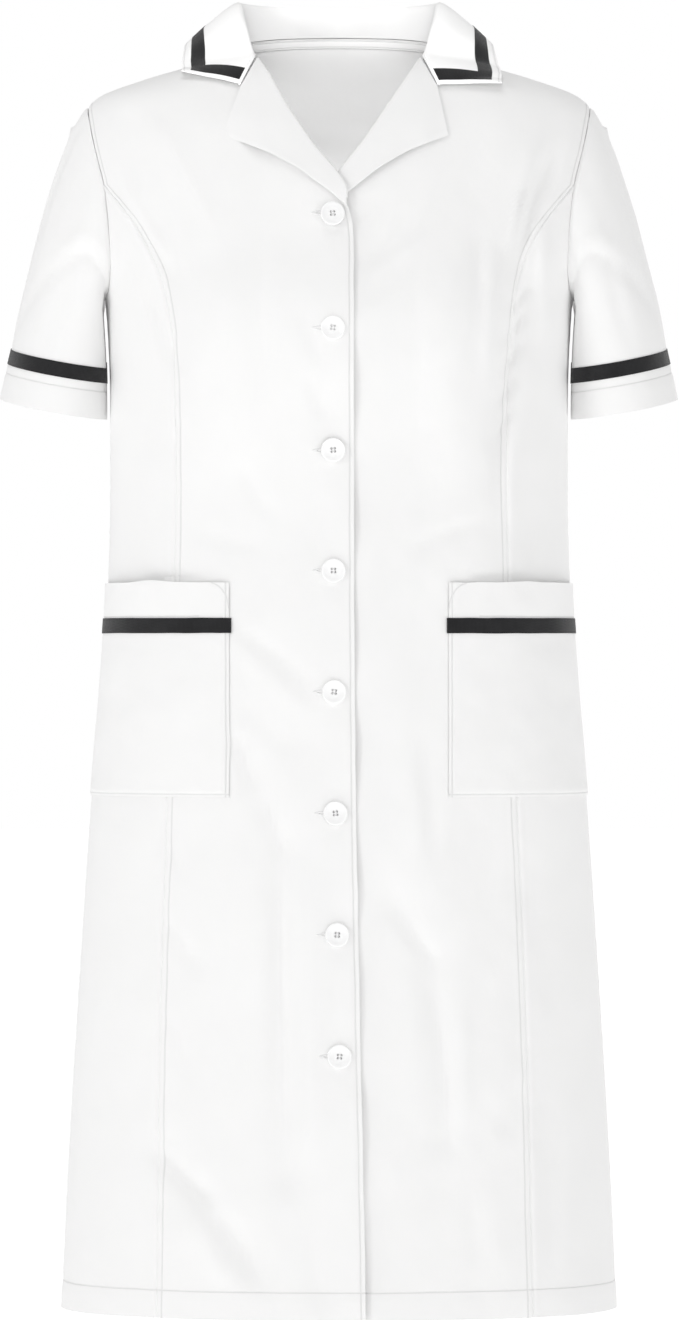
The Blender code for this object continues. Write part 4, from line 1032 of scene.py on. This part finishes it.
def sleeve_grid(side):
    """Points from the hem up to the armhole and round from the shoulder, the number of rows
    below the tape's top, and how far up each point is."""
    half_way = np.linspace(0, 180, 53)
    front_turns, back_turns = half_way[:-1], half_way[::-1][:-1]
    places = np.concatenate([armhole(front_turns, FRONT_SWING), armhole(back_turns, -BACK_SWING)])
    turns = np.radians(np.concatenate([front_turns, 360 - back_turns]))
    ring = form_point(places[:, 0], places[:, 1])
    out = form_normal(places[:, 0], places[:, 1])
    inwards = unit(np.cross(out, np.roll(ring, -1, axis=0) - np.roll(ring, 1, axis=0)))
    axis = unit(np.array([math.sin(SLEEVE_TILT), math.sin(SLEEVE_BACK_TILT), -math.cos(SLEEVE_TILT)]))
    wide = unit(np.array([math.cos(SLEEVE_TILT), 0, math.sin(SLEEVE_TILT)]))
    deep = np.cross(axis, wide)
    deep = deep if deep[1] > 0 else -deep
    centre = np.array(SLEEVE_CENTRE, float)

    def oval(up):
        taper = SLEEVE_TAPER * up / (SLEEVE_TAPE_UP + TAPE_WIDTH)
        return (
            centre - axis * up
            + np.outer(np.cos(turns), wide) * (SLEEVE_HALF_WIDTH - taper)
            - np.outer(np.sin(turns), deep) * (SLEEVE_HALF_DEPTH - taper / 2)
        )

    ups = [0, 1.5, 3, 6, 10, 14, 18, 22, 26, 29, 32, 35, 38, 41]
    cuff = [oval(up) for up in ups]
    top = cuff[-1]
    reach = np.linalg.norm(ring - top, axis=1, keepdims=True)
    drop = 0.5 - 0.5 * np.cos(turns)[:, None]
    cap = inwards - [0, 0, CAP_DROP]
    leave = unit(out * (CAP_OUT + (1 - CAP_OUT) * drop) + cap * (1 - drop))
    start = ring + inwards * SLEEVE_START + out * 0.3
    rows = []
    for t in np.linspace(0, 1, 41)[1:]:
        rows.append(
            top * (1 + 2 * t) * (1 - t) ** 2 + start * t * t * (3 - 2 * t)
            - axis * reach * SLEEVE_HANG * t * (1 - t) ** 2
            + leave * reach * SLEEVE_LEAVE * t * t * (1 - t)
        )
    points = np.array(cuff + rows)
    points[..., 0] *= side
    cuff_rows = len(ups)
    points[:-SEWN_ROWS] = clear_of_form(points[:-SEWN_ROWS], CUFF_CLEAR)
    normals = tube_normals(points)
    share = np.zeros(len(points))
    share[cuff_rows - 1:] = np.linspace(0, 1, len(points) - cuff_rows + 1)
    around = np.degrees(turns)[None, :]
    relief = np.zeros(points.shape[:2])
    for start_turn, start_share, end_turn, end_share, half_width, depth in SLEEVE_FOLDS:
        along = np.clip((share - start_share) / (end_share - start_share), -0.3, 1.3)[:, None]
        middle = start_turn + (end_turn - start_turn) * along
        apart = (around - middle + 180) % 360 - 180
        fade = smooth(along, -0.25, 0.35) * (1 - smooth(along, 0.7, 1.25))
        relief -= SLEEVE_FOLD_STRENGTH * depth * fade * np.exp(-((apart / half_width) ** 2))
    across, up = lengths_over(points, True)
    across, up = across[:, :-1], up[:, :-1]
    to_seam = up[-1:] - up
    relief += 0.6 * seam_relief(to_seam, across, 1.1 + side) + hem_relief(up + 0.5)
    relief += 0.25 * np.sin(np.radians(around * 3 + 40)) * smooth(up, 0, 60)
    relief = relief + swell(points[..., 0] + points[..., 1], points[..., 2]) * 0.35
    points = points + normals * relief[..., None]
    points[:-SEWN_ROWS] = clear_of_form(points[:-SEWN_ROWS], CUFF_CLEAR)
    body_side = column_at(RINGS, HALF_WIDTH, points[..., 2]) + SIDE_CLEAR
    body_side = body_side + SIDE_SPREAD * np.maximum(points[..., 1], 0)
    short = np.maximum(body_side - np.abs(points[..., 0]), 0) * smooth(-points[..., 2], *BELOW_ARMPIT)
    points[..., 0] += side * short
    return points, cuff_rows, up


def sleeve(side):
    points, cuff_rows, up = sleeve_grid(side)
    normals = tube_normals(points)
    name = side_name(side)
    cloth = make_sheet(f"sleeve_{name}", points, normals, dress_cloth,
                       {2: up - HEM_STITCH}, closed=True, inside_out=side > 0)
    taped = slice(cuff_rows - 5, cuff_rows)
    band_up = up[taped] - up[cuff_rows - 5]
    rows = {2: np.minimum(band_up, band_up[-1:] - band_up) - TAPE_STITCH}
    tape = make_sheet(f"sleeve_tape_{name}", points[taped], normals[taped], tape_cloth,
                      rows, closed=True, out=1.35, thick=0.7, inside_out=side > 0)
    return cloth, tape


sleeves = {side: sleeve(side) for side in (-1, 1)}

# %% [markdown]
# ## Collar
#
# The collar is a fall that lies on the shoulders and a stand that turns down inside it to
# the neck seam. It is drawn as lines across it, from the outer edge over the ridge and
# down to the seam, at places from the centre back round to each front end. The tape lies
# on the fall, a little in from its edges, and turns up along each front end.

# %% Collar
NOTCH, LAPEL_POINT = (77, -35), (88.5, -75)
# place from the back (0) to the front end (1), angle of the neck seam, then x, y and z of
# the ridge and of the outer edge
COLLAR = [
    (0.0, 180, 0, 60, 37, 0, 80, -17),
    (0.3, 135, 55, 42, 38.5, 80, 64, -10),
    (0.55, 90, 78.5, 2, 38.4, 119, 10, 5),
    (0.7, 53, 75, -31, 19, 124, -19, -4),
    (0.82, 34, 65.5, -57, -10, 127, -38, -17),
    (1.0, 22, 77, -70, -33, 127, -50, -29),
]
GORGE, STAND_FADE, FALL_BULGE = 0.82, 0.12, 2
TIP_DROP, TIP_IN = {1: 7, -1: -2}, {1: 0, -1: 4}
TIP_FROM, LAID_FROM = 0.6, 0.85
COLLAR_STITCH = 2.2
COLLAR_CLEAR, SEAM_RISE, SEAM_IN, LAPEL_LIFT = 2.9, 0.75, 0.6, 2.05
BROW_OUT, BROW_DOWN = 5, 2.5
TAPE_INSET, TAPE_FRONT_INSET, TIP_OFF = 8, 3, 3.6


def at_shares(line, share):
    steps = np.linalg.norm(np.diff(line, axis=0), axis=1)
    along = np.concatenate([[0], np.cumsum(steps)])
    want = np.asarray(share) * along[-1]
    return np.stack([np.interp(want, along, line[:, k]) for k in range(3)], axis=1)


def spline(points, share):
    points = np.asarray(points, float)
    at = np.concatenate([[0], np.cumsum(np.linalg.norm(np.diff(points, axis=0), axis=1))])
    slopes = np.gradient(points, at, axis=0)
    fine = np.linspace(0, at[-1], 240)
    i = np.clip(np.searchsorted(at, fine) - 1, 0, len(at) - 2)
    h = (at[i + 1] - at[i])[:, None]
    t = (fine - at[i])[:, None] / h
    line = points[i] * (1 + 2 * t) * (1 - t) ** 2 + points[i + 1] * t * t * (3 - 2 * t)
    line = line + h * (slopes[i] * t * (1 - t) ** 2 - slopes[i + 1] * t * t * (1 - t))
    return at_shares(line, share)


def on_front(x, z, lift):
    angle = angle_of(x, z)
    return form_point(angle, z) + lift * form_normal(angle, z)


FALL_EDGE = [0, 0.8, 1.8, 3.2, 5, 6.5, 8, 10, 12, 14, 16, 18, 20]
FALL_REST, STAND_ROWS = 14, 8


def collar_line(place, side):
    """The collar across at one place: from its edge to the ridge, then to the neck seam."""
    row = [float(column_at(COLLAR, k, place)) for k in range(1, 8)]
    to_tip = smooth(place, TIP_FROM, 1)
    edge = np.array([row[4] - TIP_IN[side] * to_tip, row[5], row[6] - TIP_DROP[side] * to_tip])
    laid = on_front(edge[0], edge[2], COLLAR_CLEAR + TIP_OFF)
    edge = edge + (laid - edge) * smooth(place, LAID_FROM, 1)
    ridge = np.array(row[1:4])
    if place > GORGE:
        share = (place - GORGE) / (1 - GORGE)
        start = np.array([FRONT_NECK[0][1], FRONT_NECK[0][0]])
        along = np.array(NOTCH) - start
        spot = start + along * share + unit(np.array([-along[1], along[0]])) * 0.6
        seam = on_front(spot[0], spot[1], LAPEL_LIFT)
    else:
        seam_z = back_neck(row[0]) if row[0] >= 90 else front_neck(row[0])
        seam = form_point(row[0], seam_z)
        level = unit(np.array([seam[0], seam[1] - 5, 0]))
        seam = seam + np.array([0, 0, SEAM_RISE]) - level * SEAM_IN
        on_gorge = on_front(FRONT_NECK[0][1] + 0.3, FRONT_NECK[0][0] + 0.8, LAPEL_LIFT)
        seam = seam + (on_gorge - seam) * smooth(place, GORGE - STAND_FADE / 2, GORGE)
    level = unit(np.array([seam[0], seam[1] - 5, 0]))
    stands = 1 - smooth(place, GORGE - STAND_FADE, GORGE)
    near = seam + 2 * unit(edge - seam)
    ridge = ridge * stands + near * (1 - stands)
    brow_out = level * BROW_OUT - np.array([0, 0, BROW_DOWN])
    brow = ridge + brow_out * stands + (edge - ridge) * 0.12 * (1 - stands)
    bulge = unit(level + np.array([0, 0, 0.8])) * FALL_BULGE
    middle = (ridge + edge) / 2 + bulge * (0.3 + 0.7 * stands)
    fall = spline([edge, middle, brow, ridge], np.linspace(0, 1, 200))
    length = np.linalg.norm(np.diff(fall, axis=0), axis=1).sum()
    spots = FALL_EDGE + list(np.linspace(FALL_EDGE[-1], length, FALL_REST + 1)[1:])
    fall = at_shares(fall, np.array(spots) / length)
    stand_middle = (seam + ridge) / 2 - level * stands
    stand = spline([ridge, stand_middle, seam], np.linspace(0, 1, STAND_ROWS + 1))
    return np.concatenate([fall, stand[1:]])


COLLAR_ENDS = [0, 0.8, 1.8, 3, 5, 7, 9, 11, 13, 15, 17]
COLLAR_HALF_COLUMNS = 60


def collar():
    lines = []
    for place in np.linspace(-1, 1, 181):
        side = 1 if place > 0 else -1
        line = collar_line(abs(place), side)
        line[:, 0] *= side
        lines.append(line)
    rows = np.array(lines).transpose(1, 0, 2)
    made = []
    for row in rows:
        length = np.linalg.norm(np.diff(row, axis=0), axis=1).sum()
        rest = np.linspace(COLLAR_ENDS[-1], length / 2, COLLAR_HALF_COLUMNS + 1)[1:]
        half = np.concatenate([COLLAR_ENDS, rest])
        made.append(at_shares(row, np.concatenate([half, length - half[-2::-1]]) / length))
    points = np.array(made)
    for _ in range(6):
        inner = points[1:-1, 1:-1]
        around = (points[:-2, 1:-1] + points[2:, 1:-1] + points[1:-1, :-2] + points[1:-1, 2:]) / 4
        off_the_edge = (np.arange(1, len(points) - 1) > len(FALL_EDGE) - 1)[:, None, None]
        points[1:-1, 1:-1] = inner + 0.35 * (around - inner) * off_the_edge
    fall_rows = len(FALL_EDGE) + FALL_REST
    points[:fall_rows] = clear_of_form(points[:fall_rows], COLLAR_CLEAR)
    normals = grid_normals(points)
    if normals[0, points.shape[1] // 2, 1] < 0:
        normals = -normals
    across, up = lengths_over(points)
    from_end = np.minimum(across, across[:, -1:] - across)
    edge = np.minimum(up, from_end)
    puffed = 0.35 * smooth(edge, 0, 3.0) - 0.3
    taped = (up > 7.5) & (up < 20.5)
    soft = 0.25 * np.sin(across / 8.5) * (1 - smooth(up, 0, 14)) * ~taped
    lifted = points + normals * (puffed + soft)[..., None]
    cloth = make_sheet("collar", lifted, normals, dress_cloth, {5: up - COLLAR_STITCH}, thick=1.0)
    low, high = FALL_EDGE.index(TAPE_INSET), FALL_EDGE.index(TAPE_INSET + TAPE_WIDTH)
    first = COLLAR_ENDS.index(TAPE_FRONT_INSET)
    last = COLLAR_ENDS.index(TAPE_FRONT_INSET + TAPE_WIDTH)
    width = points.shape[1]
    cells = [(row, column) for row in range(low, high) for column in range(first, width - 1 - first)]
    ends = list(range(first, last)) + list(range(width - 1 - last, width - 1 - first))
    cells += [(row, column) for row in range(high, fall_rows - 1) for column in ends]
    from_low = np.abs(up - TAPE_INSET - TAPE_STITCH)
    from_high = np.abs(up - TAPE_INSET - TAPE_WIDTH + TAPE_STITCH)
    tape = make_sheet("collar_tape", lifted, normals, tape_cloth,
                      {2: np.minimum(from_low, from_high)}, cells=cells, out=1.45, thick=0.6)
    return cloth, tape


collar_sheet, collar_tape = collar()

# %% [markdown]
# ## Lapels
#
# Above the top button the front turns out along a roll line and lies flat on itself. The
# lapel is that turned part, down to its point and its notch below the collar. A small
# half-round along the roll line joins it to the front's own edge, as folded cloth does.

# %% Lapels
LAPEL_POINT_SKEW, LAPEL_HOLLOW, LAPEL_ROUND = 3, 7, 2.2
LAPEL_FOOT_UP, LAPEL_FOOT_DOWN = 1.5, 4.5
LAPEL_ROWS, LAPEL_COLUMNS = 44, 26
ROLL_RADIUS, ROLL_STEPS, LAPEL_CURL = 1.05, 5, 2.1


def lapel(side):
    share = np.linspace(0, 1, LAPEL_ROWS + 1)
    roll_zs = BREAK_Z + LAPEL_FOOT_UP + share * (ROLL[-1][0] - BREAK_Z - 2.5)
    roll = np.stack([roll_x(roll_zs, side), roll_zs], axis=-1)
    edge_start = np.array([roll[0, 0], BREAK_Z - LAPEL_FOOT_DOWN])
    point = np.array([LAPEL_POINT[0] - side * LAPEL_POINT_SKEW, LAPEL_POINT[1]])
    notch = np.array(NOTCH)
    edge = edge_start + (point - edge_start) * share[:, None]
    edge[:, 1] += LAPEL_HOLLOW * np.sin(math.pi * share)
    across = np.linspace(0, 1, LAPEL_COLUMNS + 1)
    lengths = [np.linalg.norm(notch - roll[-1]), np.linalg.norm(point - notch)]
    turn = round(LAPEL_COLUMNS * lengths[0] / sum(lengths)) / LAPEL_COLUMNS
    top = np.stack(
        [np.interp(across, [0, turn, 1], [roll[-1, k], notch[k], point[k]]) for k in (0, 1)], axis=-1
    )
    top_bend = top - (top[0] * (1 - across[:, None]) + top[-1] * across[:, None])
    places = roll[:, None] * (1 - across)[None, :, None] + edge[:, None] * across[None, :, None]
    places = places + smooth(share, 0, 1)[:, None, None] * top_bend[None]
    xs, zs = places[..., 0], places[..., 1]
    angles = angle_of(xs, zs)
    points, normals = form_point(angles, zs), form_normal(angles, zs)
    points[..., 0] *= side
    normals[..., 0] *= side
    belly = LAPEL_ROUND * np.sin(math.pi * across)[None, :] * (share - share**4)[:, None]
    lift = lap_lift(points, side) + LAPEL_LIFT + belly
    lift = lift + LAPEL_CURL * (across**4)[None, :] * np.sin(math.pi * share)[:, None]
    lift = lift - 0.5 * smooth(across, 0.95, 1)[None, :]
    lift = lift + 0.35 * np.sin(zs / 9.0) * (across**2)[None, :] * (1 - share)[:, None]
    points = points + normals * lift[..., None]
    inward = unit(points[:, 0] - points[:, 1])
    centre = points[:, 0] - normals[:, 0] * ROLL_RADIUS
    curl = []
    for bend in np.linspace(-90, 90, ROLL_STEPS + 1)[:-1]:
        out = math.sin(math.radians(bend)) * normals[:, 0]
        curl.append(centre + ROLL_RADIUS * (out + 1.3 * math.cos(math.radians(bend)) * inward))
    points = np.concatenate([np.array(curl).transpose(1, 0, 2), points], axis=1)
    normals = grid_normals(points)
    if (normals[:, -5, 1] > 0).mean() > 0.5:
        normals = -normals
    return make_sheet(f"lapel_{side_name(side)}", points, normals, dress_cloth, inside_out=side < 0)


lapels = {side: lapel(side) for side in (-1, 1)}

# %% [markdown]
# ## Neck tape
#
# A narrow strip covers the neck seam inside the back, so that it doesn't scratch.

# %% Neck tape
NECK_TAPE_WIDTH, NECK_TAPE_DOWN, NECK_TAPE_IN, NECK_TAPE_STITCH = 6.5, 0.6, 1.5, 1.0
NECK_TAPE_ENDS = (94, 266)


def neck_tape():
    columns = np.linspace(*NECK_TAPE_ENDS, 61)
    tops = back_neck(columns) - NECK_TAPE_DOWN
    drops = np.linspace(NECK_TAPE_WIDTH, 0, 5)
    points = np.array([form_point(columns, tops - drop) for drop in drops])
    normals = np.array([form_normal(columns, tops - drop) for drop in drops])
    up = lengths_over(points)[1]
    stitches = {2: up - NECK_TAPE_STITCH, 5: up[-1:] - up - NECK_TAPE_STITCH}
    return make_sheet("neck_tape", points - normals * NECK_TAPE_IN, -normals, dress_cloth,
                      stitches, out=0.4, thick=0.7, inside_out=True)


neck_strip = neck_tape()

# %% [markdown]
# ## Pockets
#
# A patch pocket is sewn on along its sides and its bottom and stays open at the top, where
# its mouth stands off a little over the seam behind it. Its top is turned under, and the
# tape below that runs round its inner edge. A curved row of stitches holds each upper inner
# corner.

# %% Pockets
POCKET_TOP, POCKET_BOTTOM, POCKET_INNER_X, POCKET_OUTER_ANGLE = -427, -596, 86, 87
POCKET_GAPE, POCKET_GAPE_DEPTH, POCKET_TAPE_DOWN, POCKET_LIFT = 4, 50, 28, 2.5
POCKET_STITCH, CORNER_WIDE, CORNER_LOW = 2.4, 16, 21


def pocket(side):
    tape_top = POCKET_TOP - POCKET_TAPE_DOWN
    tape_bottom = tape_top - TAPE_WIDTH
    low_rows = np.concatenate([[0, 1, 2.4, 4, 6], np.linspace(9, tape_bottom - POCKET_BOTTOM, 30)])
    zs = np.concatenate(
        [
            POCKET_BOTTOM + low_rows,
            np.linspace(tape_bottom, tape_top, 5)[1:],
            np.linspace(tape_top, POCKET_TOP - 2, 8)[1:],
            [POCKET_TOP - 0.8, POCKET_TOP],
        ]
    )
    share = np.linspace(0, 1, 51)
    share = np.sort(np.concatenate([[0.006, 0.014, 0.024, 0.034], share]))
    start = angle_of(POCKET_INNER_X, zs)[:, None]
    angles = start + (POCKET_OUTER_ANGLE - start) * share[None, :]
    heights = np.repeat(zs[:, None], len(share), axis=1)
    points, normals = form_point(angles * side, heights), form_normal(angles * side, heights)
    across, up = lengths_over(points)
    edge = np.minimum(np.minimum(across, across[:, -1:] - across), up)
    rise = np.clip(1 - (POCKET_TOP - heights) / POCKET_GAPE_DEPTH, 0, 1) ** 2
    gape = POCKET_GAPE * rise * np.sin(math.pi * share)[None, :] ** 2
    held_down = 1.15 * (1 - smooth(edge, 0, 5.0))
    turned = 0.3 * smooth(heights, tape_top + 1, tape_top + 3)
    lift = POCKET_LIFT - held_down + gape + turned
    lift = lift + 0.12 * np.sin((across + up) / 2.3) * np.exp(-((edge - 3) / 3) ** 2)
    lift = lift + swell(heights * 1.3, across * 1.1) * 0.4 * smooth(edge, 2, 18)
    points = points + normals * lift[..., None]
    name = side_name(side)
    from_corner = np.stack([CORNER_WIDE - across, up - up[-1:] + CORNER_LOW])
    corner = 1 - np.hypot(from_corner[0] / CORNER_WIDE, from_corner[1] / CORNER_LOW)
    in_corner = (from_corner > 0).all(axis=0)
    stitches = {
        0: across - POCKET_STITCH,
        1: across[:, -1:] - across - POCKET_STITCH,
        2: up - POCKET_STITCH,
        3: np.where(in_corner, corner * (CORNER_WIDE + CORNER_LOW) / 2, FAR),
        5: np.where(across < 22, FAR, up - (tape_top - POCKET_BOTTOM + 1.5)),
    }
    cloth = make_sheet(f"pocket_{name}", points, normals, dress_cloth, stitches,
                       inside_out=side < 0)
    first = len(low_rows) - 1
    band, band_normals = points[first:first + 5], normals[first:first + 5]
    reach = unit(band[:, :1] - band[:, 1:2])
    wrap = [band[:, :1] + reach * 1.7 - band_normals[:, :1] * 1.2, band[:, :1] + reach * 1.3]
    band = np.concatenate([*wrap, band], axis=1)
    band_normals = np.concatenate([band_normals[:, :1]] * 2 + [band_normals], axis=1)
    band_up = lengths_over(band)[1]
    rows = {2: np.minimum(band_up, band_up[-1:] - band_up) - TAPE_STITCH}
    tape = make_sheet(f"pocket_tape_{name}", band, band_normals, tape_cloth, rows, out=1.5,
                      thick=0.65, inside_out=side < 0)
    return cloth, tape


pockets = {side: pocket(side) for side in (-1, 1)}

# %% [markdown]
# ## Buttons
#
# A four-hole button is turned from a disc: a raised rim, a sunk middle and four holes with
# thread across them. One is modelled with the everyday tools: a cylinder, an inset top
# pushed down, a bevel, and a Boolean for the holes. It is copied to each solid's place,
# each copy with its own mesh, and turned to lie on the lap there.

# %% One button
BUTTON_RADIUS, BUTTON_HEIGHT, BUTTON_RIM = 9.5, 3.0, 1.7
# inside the rim: how wide each step is and how far down it goes
BUTTON_STEPS = ((0.9, 0.55), (4.2, 0.12))
HOLE_RADIUS, HOLE_OUT = 0.95, 1.75


def apply_modifier(thing, kind, **settings):
    modifier = thing.modifiers.new(kind.lower(), kind)
    for key, value in settings.items():
        setattr(modifier, key, value)
    pick(thing)
    bpy.ops.object.modifier_apply(modifier=modifier.name)


def model_button():
    bpy.ops.mesh.primitive_cylinder_add(
        vertices=48, radius=BUTTON_RADIUS * MM, depth=BUTTON_HEIGHT * MM,
        location=(0, 0, BUTTON_HEIGHT / 2 * MM),
    )
    made = bpy.context.object
    made.name = "button"
    bpy.ops.object.transform_apply(location=True)
    bpy.ops.object.mode_set(mode="EDIT")
    bpy.ops.mesh.select_mode(type="FACE")
    bpy.ops.mesh.select_all(action="DESELECT")
    mesh = bmesh.from_edit_mesh(made.data)
    for face in mesh.faces:
        face.select_set(face.normal.z > 0.9)
    bmesh.update_edit_mesh(made.data)
    bpy.ops.mesh.inset(thickness=BUTTON_RIM * MM, depth=0)
    for wide, down in BUTTON_STEPS:
        bpy.ops.mesh.inset(thickness=wide * MM, depth=-down * MM)
    bpy.ops.object.mode_set(mode="OBJECT")
    apply_modifier(made, "BEVEL", width=0.55 * MM, segments=3, limit_method="ANGLE",
                   angle_limit=math.radians(35))
    for turn in (45, 135, 225, 315):
        bpy.ops.mesh.primitive_cylinder_add(
            vertices=20, radius=HOLE_RADIUS * MM, depth=8 * MM,
            location=(HOLE_OUT * math.cos(math.radians(turn)) * MM,
                      HOLE_OUT * math.sin(math.radians(turn)) * MM, 2 * MM),
        )
        drill = bpy.context.object
        apply_modifier(made, "BOOLEAN", object=drill, operation="DIFFERENCE", solver="EXACT")
        bpy.data.objects.remove(drill)
    pick(made)
    bpy.ops.object.shade_smooth_by_angle(angle=math.radians(35))
    made.data.materials.append(button_plastic)
    return made


def model_thread():
    """Two stitches side by side between the holes, each a short arched tube."""
    strands = []
    for offset in (-1, 1):
        for shift in (-0.28, 0.28):
            y = (offset * HOLE_OUT * math.sin(math.radians(45)) + shift) * MM
            bpy.ops.mesh.primitive_cylinder_add(
                vertices=8, radius=0.24 * MM, depth=3.4 * MM, location=(0, y, 2.05 * MM),
                rotation=(0, math.radians(90), 0), end_fill_type="TRIFAN",
            )
            strand = bpy.context.object
            bpy.ops.object.transform_apply(location=True, rotation=True)
            bpy.ops.object.mode_set(mode="EDIT")
            bpy.ops.mesh.select_all(action="SELECT")
            bpy.ops.mesh.subdivide(number_cuts=3)
            bpy.ops.object.mode_set(mode="OBJECT")
            for vertex in strand.data.vertices:
                bend = abs(vertex.co.x) / (1.7 * MM)
                vertex.co.z += (0.35 - 1.1 * bend**3) * MM
            strand.data.materials.append(thread_cotton)
            strands.append(strand)
    pick(*strands)
    bpy.ops.object.join()
    bpy.ops.object.shade_smooth()
    return bpy.context.object


pattern_button, pattern_thread = model_button(), model_thread()
print("button faces:", len(pattern_button.data.polygons), "thread faces:",
      len(pattern_thread.data.polygons))


# %% The eight buttons in their places
def button_frame(number):
    """Where a button's underside is, and its turn, from its solid and the form below it."""
    low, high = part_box(f"button_{number}")
    centre = (np.array(low) + np.array(high)) / 2 / MM
    angle = angle_of(centre[0], centre[2])
    out = form_normal(angle, centre[2])
    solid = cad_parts[f"button_{number}"].data
    reach = np.array([vertex.co for vertex in solid.vertices]) / MM
    along = (reach - centre) @ out
    base = centre + out * along.min()
    sideways = unit(np.cross(np.array([0, 0, 1.0]), out))
    turned = np.stack([sideways, np.cross(out, sideways), out], axis=1)
    return base, turned


def placed_copy(pattern, name, base, turned):
    made = pattern.copy()
    made.data = pattern.data.copy()
    made.name = name
    bpy.context.scene.collection.objects.link(made)
    where = Matrix.Translation(Vector(base * MM)) @ Matrix(turned.tolist()).to_4x4()
    made.data.transform(where)
    return made


buttons, button_threads = [], []
for number in range(1, 9):
    base, turned = button_frame(number)
    spin = math.radians(7 * math.sin(number * 2.3))
    about = np.array(Matrix.Rotation(spin, 3, "Z"))
    made = placed_copy(pattern_button, f"white_button_{number}", base, turned @ about)
    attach(made, "root")
    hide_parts(f"button_{number}")
    sewn = placed_copy(pattern_thread, f"button_thread_{number}", base, turned @ about)
    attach(sewn, "root")
    buttons.append(made)
    button_threads.append(sewn)
for pattern in (pattern_button, pattern_thread):
    bpy.data.objects.remove(pattern)
print("buttons:", len(buttons))

# %% [markdown]
# ## Buttonholes
#
# A machine-sewn buttonhole is a narrow slit between two bars of close stitches. Each lies
# level, mostly under its button, and its outer end shows beside it. A ring is stretched to
# that shape and laid on the form.

# %% Buttonholes
HOLE_LENGTH, HOLE_WIDTH, HOLE_SHIFT = 22.0, 3.6, -6.0


def model_buttonhole():
    bpy.ops.mesh.primitive_torus_add(
        major_segments=64, minor_segments=8, major_radius=1.0, minor_radius=0.3, location=(0, 0, 0)
    )
    made = bpy.context.object
    made.name = "buttonholes"
    for vertex in made.data.vertices:
        x, y, z = vertex.co
        round_x = math.copysign(abs(x) ** 0.8, x)
        vertex.co = (round_x * HOLE_LENGTH / 2.6, y * HOLE_WIDTH / 2.6, z * 1.5)
    return made


def lay_on_lap(thing, x, z, lift):
    """Moves each point of a flat piece on to the lap, around x and z."""
    places = np.array([vertex.co for vertex in thing.data.vertices])
    xs, zs = x + places[:, 0], z + places[:, 1]
    angles = angle_of(xs, zs)
    points, outs = form_point(angles, zs), form_normal(angles, zs)
    out = lap_lift(points, -1) + gaping(points, -1) + OUT + lift + places[:, 2]
    points = (points + outs * out[:, None]) * MM
    for vertex, point in zip(thing.data.vertices, points, strict=True):
        vertex.co = point


holes = []
pattern_hole = model_buttonhole()
for number in range(1, 9):
    low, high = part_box(f"button_{number}")
    hole = pattern_hole.copy()
    hole.data = pattern_hole.data.copy()
    bpy.context.scene.collection.objects.link(hole)
    centre_x, centre_z = (low[0] + high[0]) / 2 / MM, (low[2] + high[2]) / 2 / MM
    lay_on_lap(hole, centre_x + HOLE_SHIFT, centre_z, 0.05)
    holes.append(hole)
bpy.data.objects.remove(pattern_hole)
pick(*holes)
bpy.ops.object.join()
buttonholes = bpy.context.object
buttonholes.name = "buttonholes"
buttonholes.data.materials.append(thread_cotton)
bpy.ops.object.shade_smooth()
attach(buttonholes, "root")
print("buttonholes:", len(buttonholes.data.polygons), "faces")

# %% [markdown]
# ## Join the pieces to the imported model
#
# Every sheet says which solid it stands for and the size that its cloth is cut to.

# %% Each sheet under the root, in place of its hidden solid
for side in (-1, 1):
    name = side_name(side)
    dressed(fronts[side], f"front_{name}")
    dressed(side_fronts[side], f"side_front_{name}")
    cloth, tape = sleeves[side]
    dressed(cloth, f"sleeve_{name}")
    dressed(tape, f"sleeve_tape_{name}")
    dressed(lapels[side], f"lapel_{name}")
    cloth, tape = pockets[side]
    dressed(cloth, f"pocket_{name}")
    dressed(tape, f"pocket_tape_{name}")
dressed(back_sheet, "back")
dressed(collar_sheet, "collar")
dressed(collar_tape, "collar_tape")
dressed(neck_strip, "neck_tape")

# %% [markdown]
# White cloth lets light through, so the inside of the back and of the collar is nearly as
# bright as the front. A lamp that lights the back and its neck strip alone stands in for
# that, and another one lights the collar alone.

# %% Light on the inside of the back and on the collar
def light_only(light, name, pieces):
    lit = bpy.data.collections.new(name)
    bpy.context.scene.collection.children.link(lit)
    for piece in pieces:
        lit.objects.link(piece)
    light.light_linking.receiver_collection = lit


light_only(inside_light, "lit_from_inside", (back_sheet, neck_strip))
light_only(collar_light, "lit_collar", (collar_sheet,))
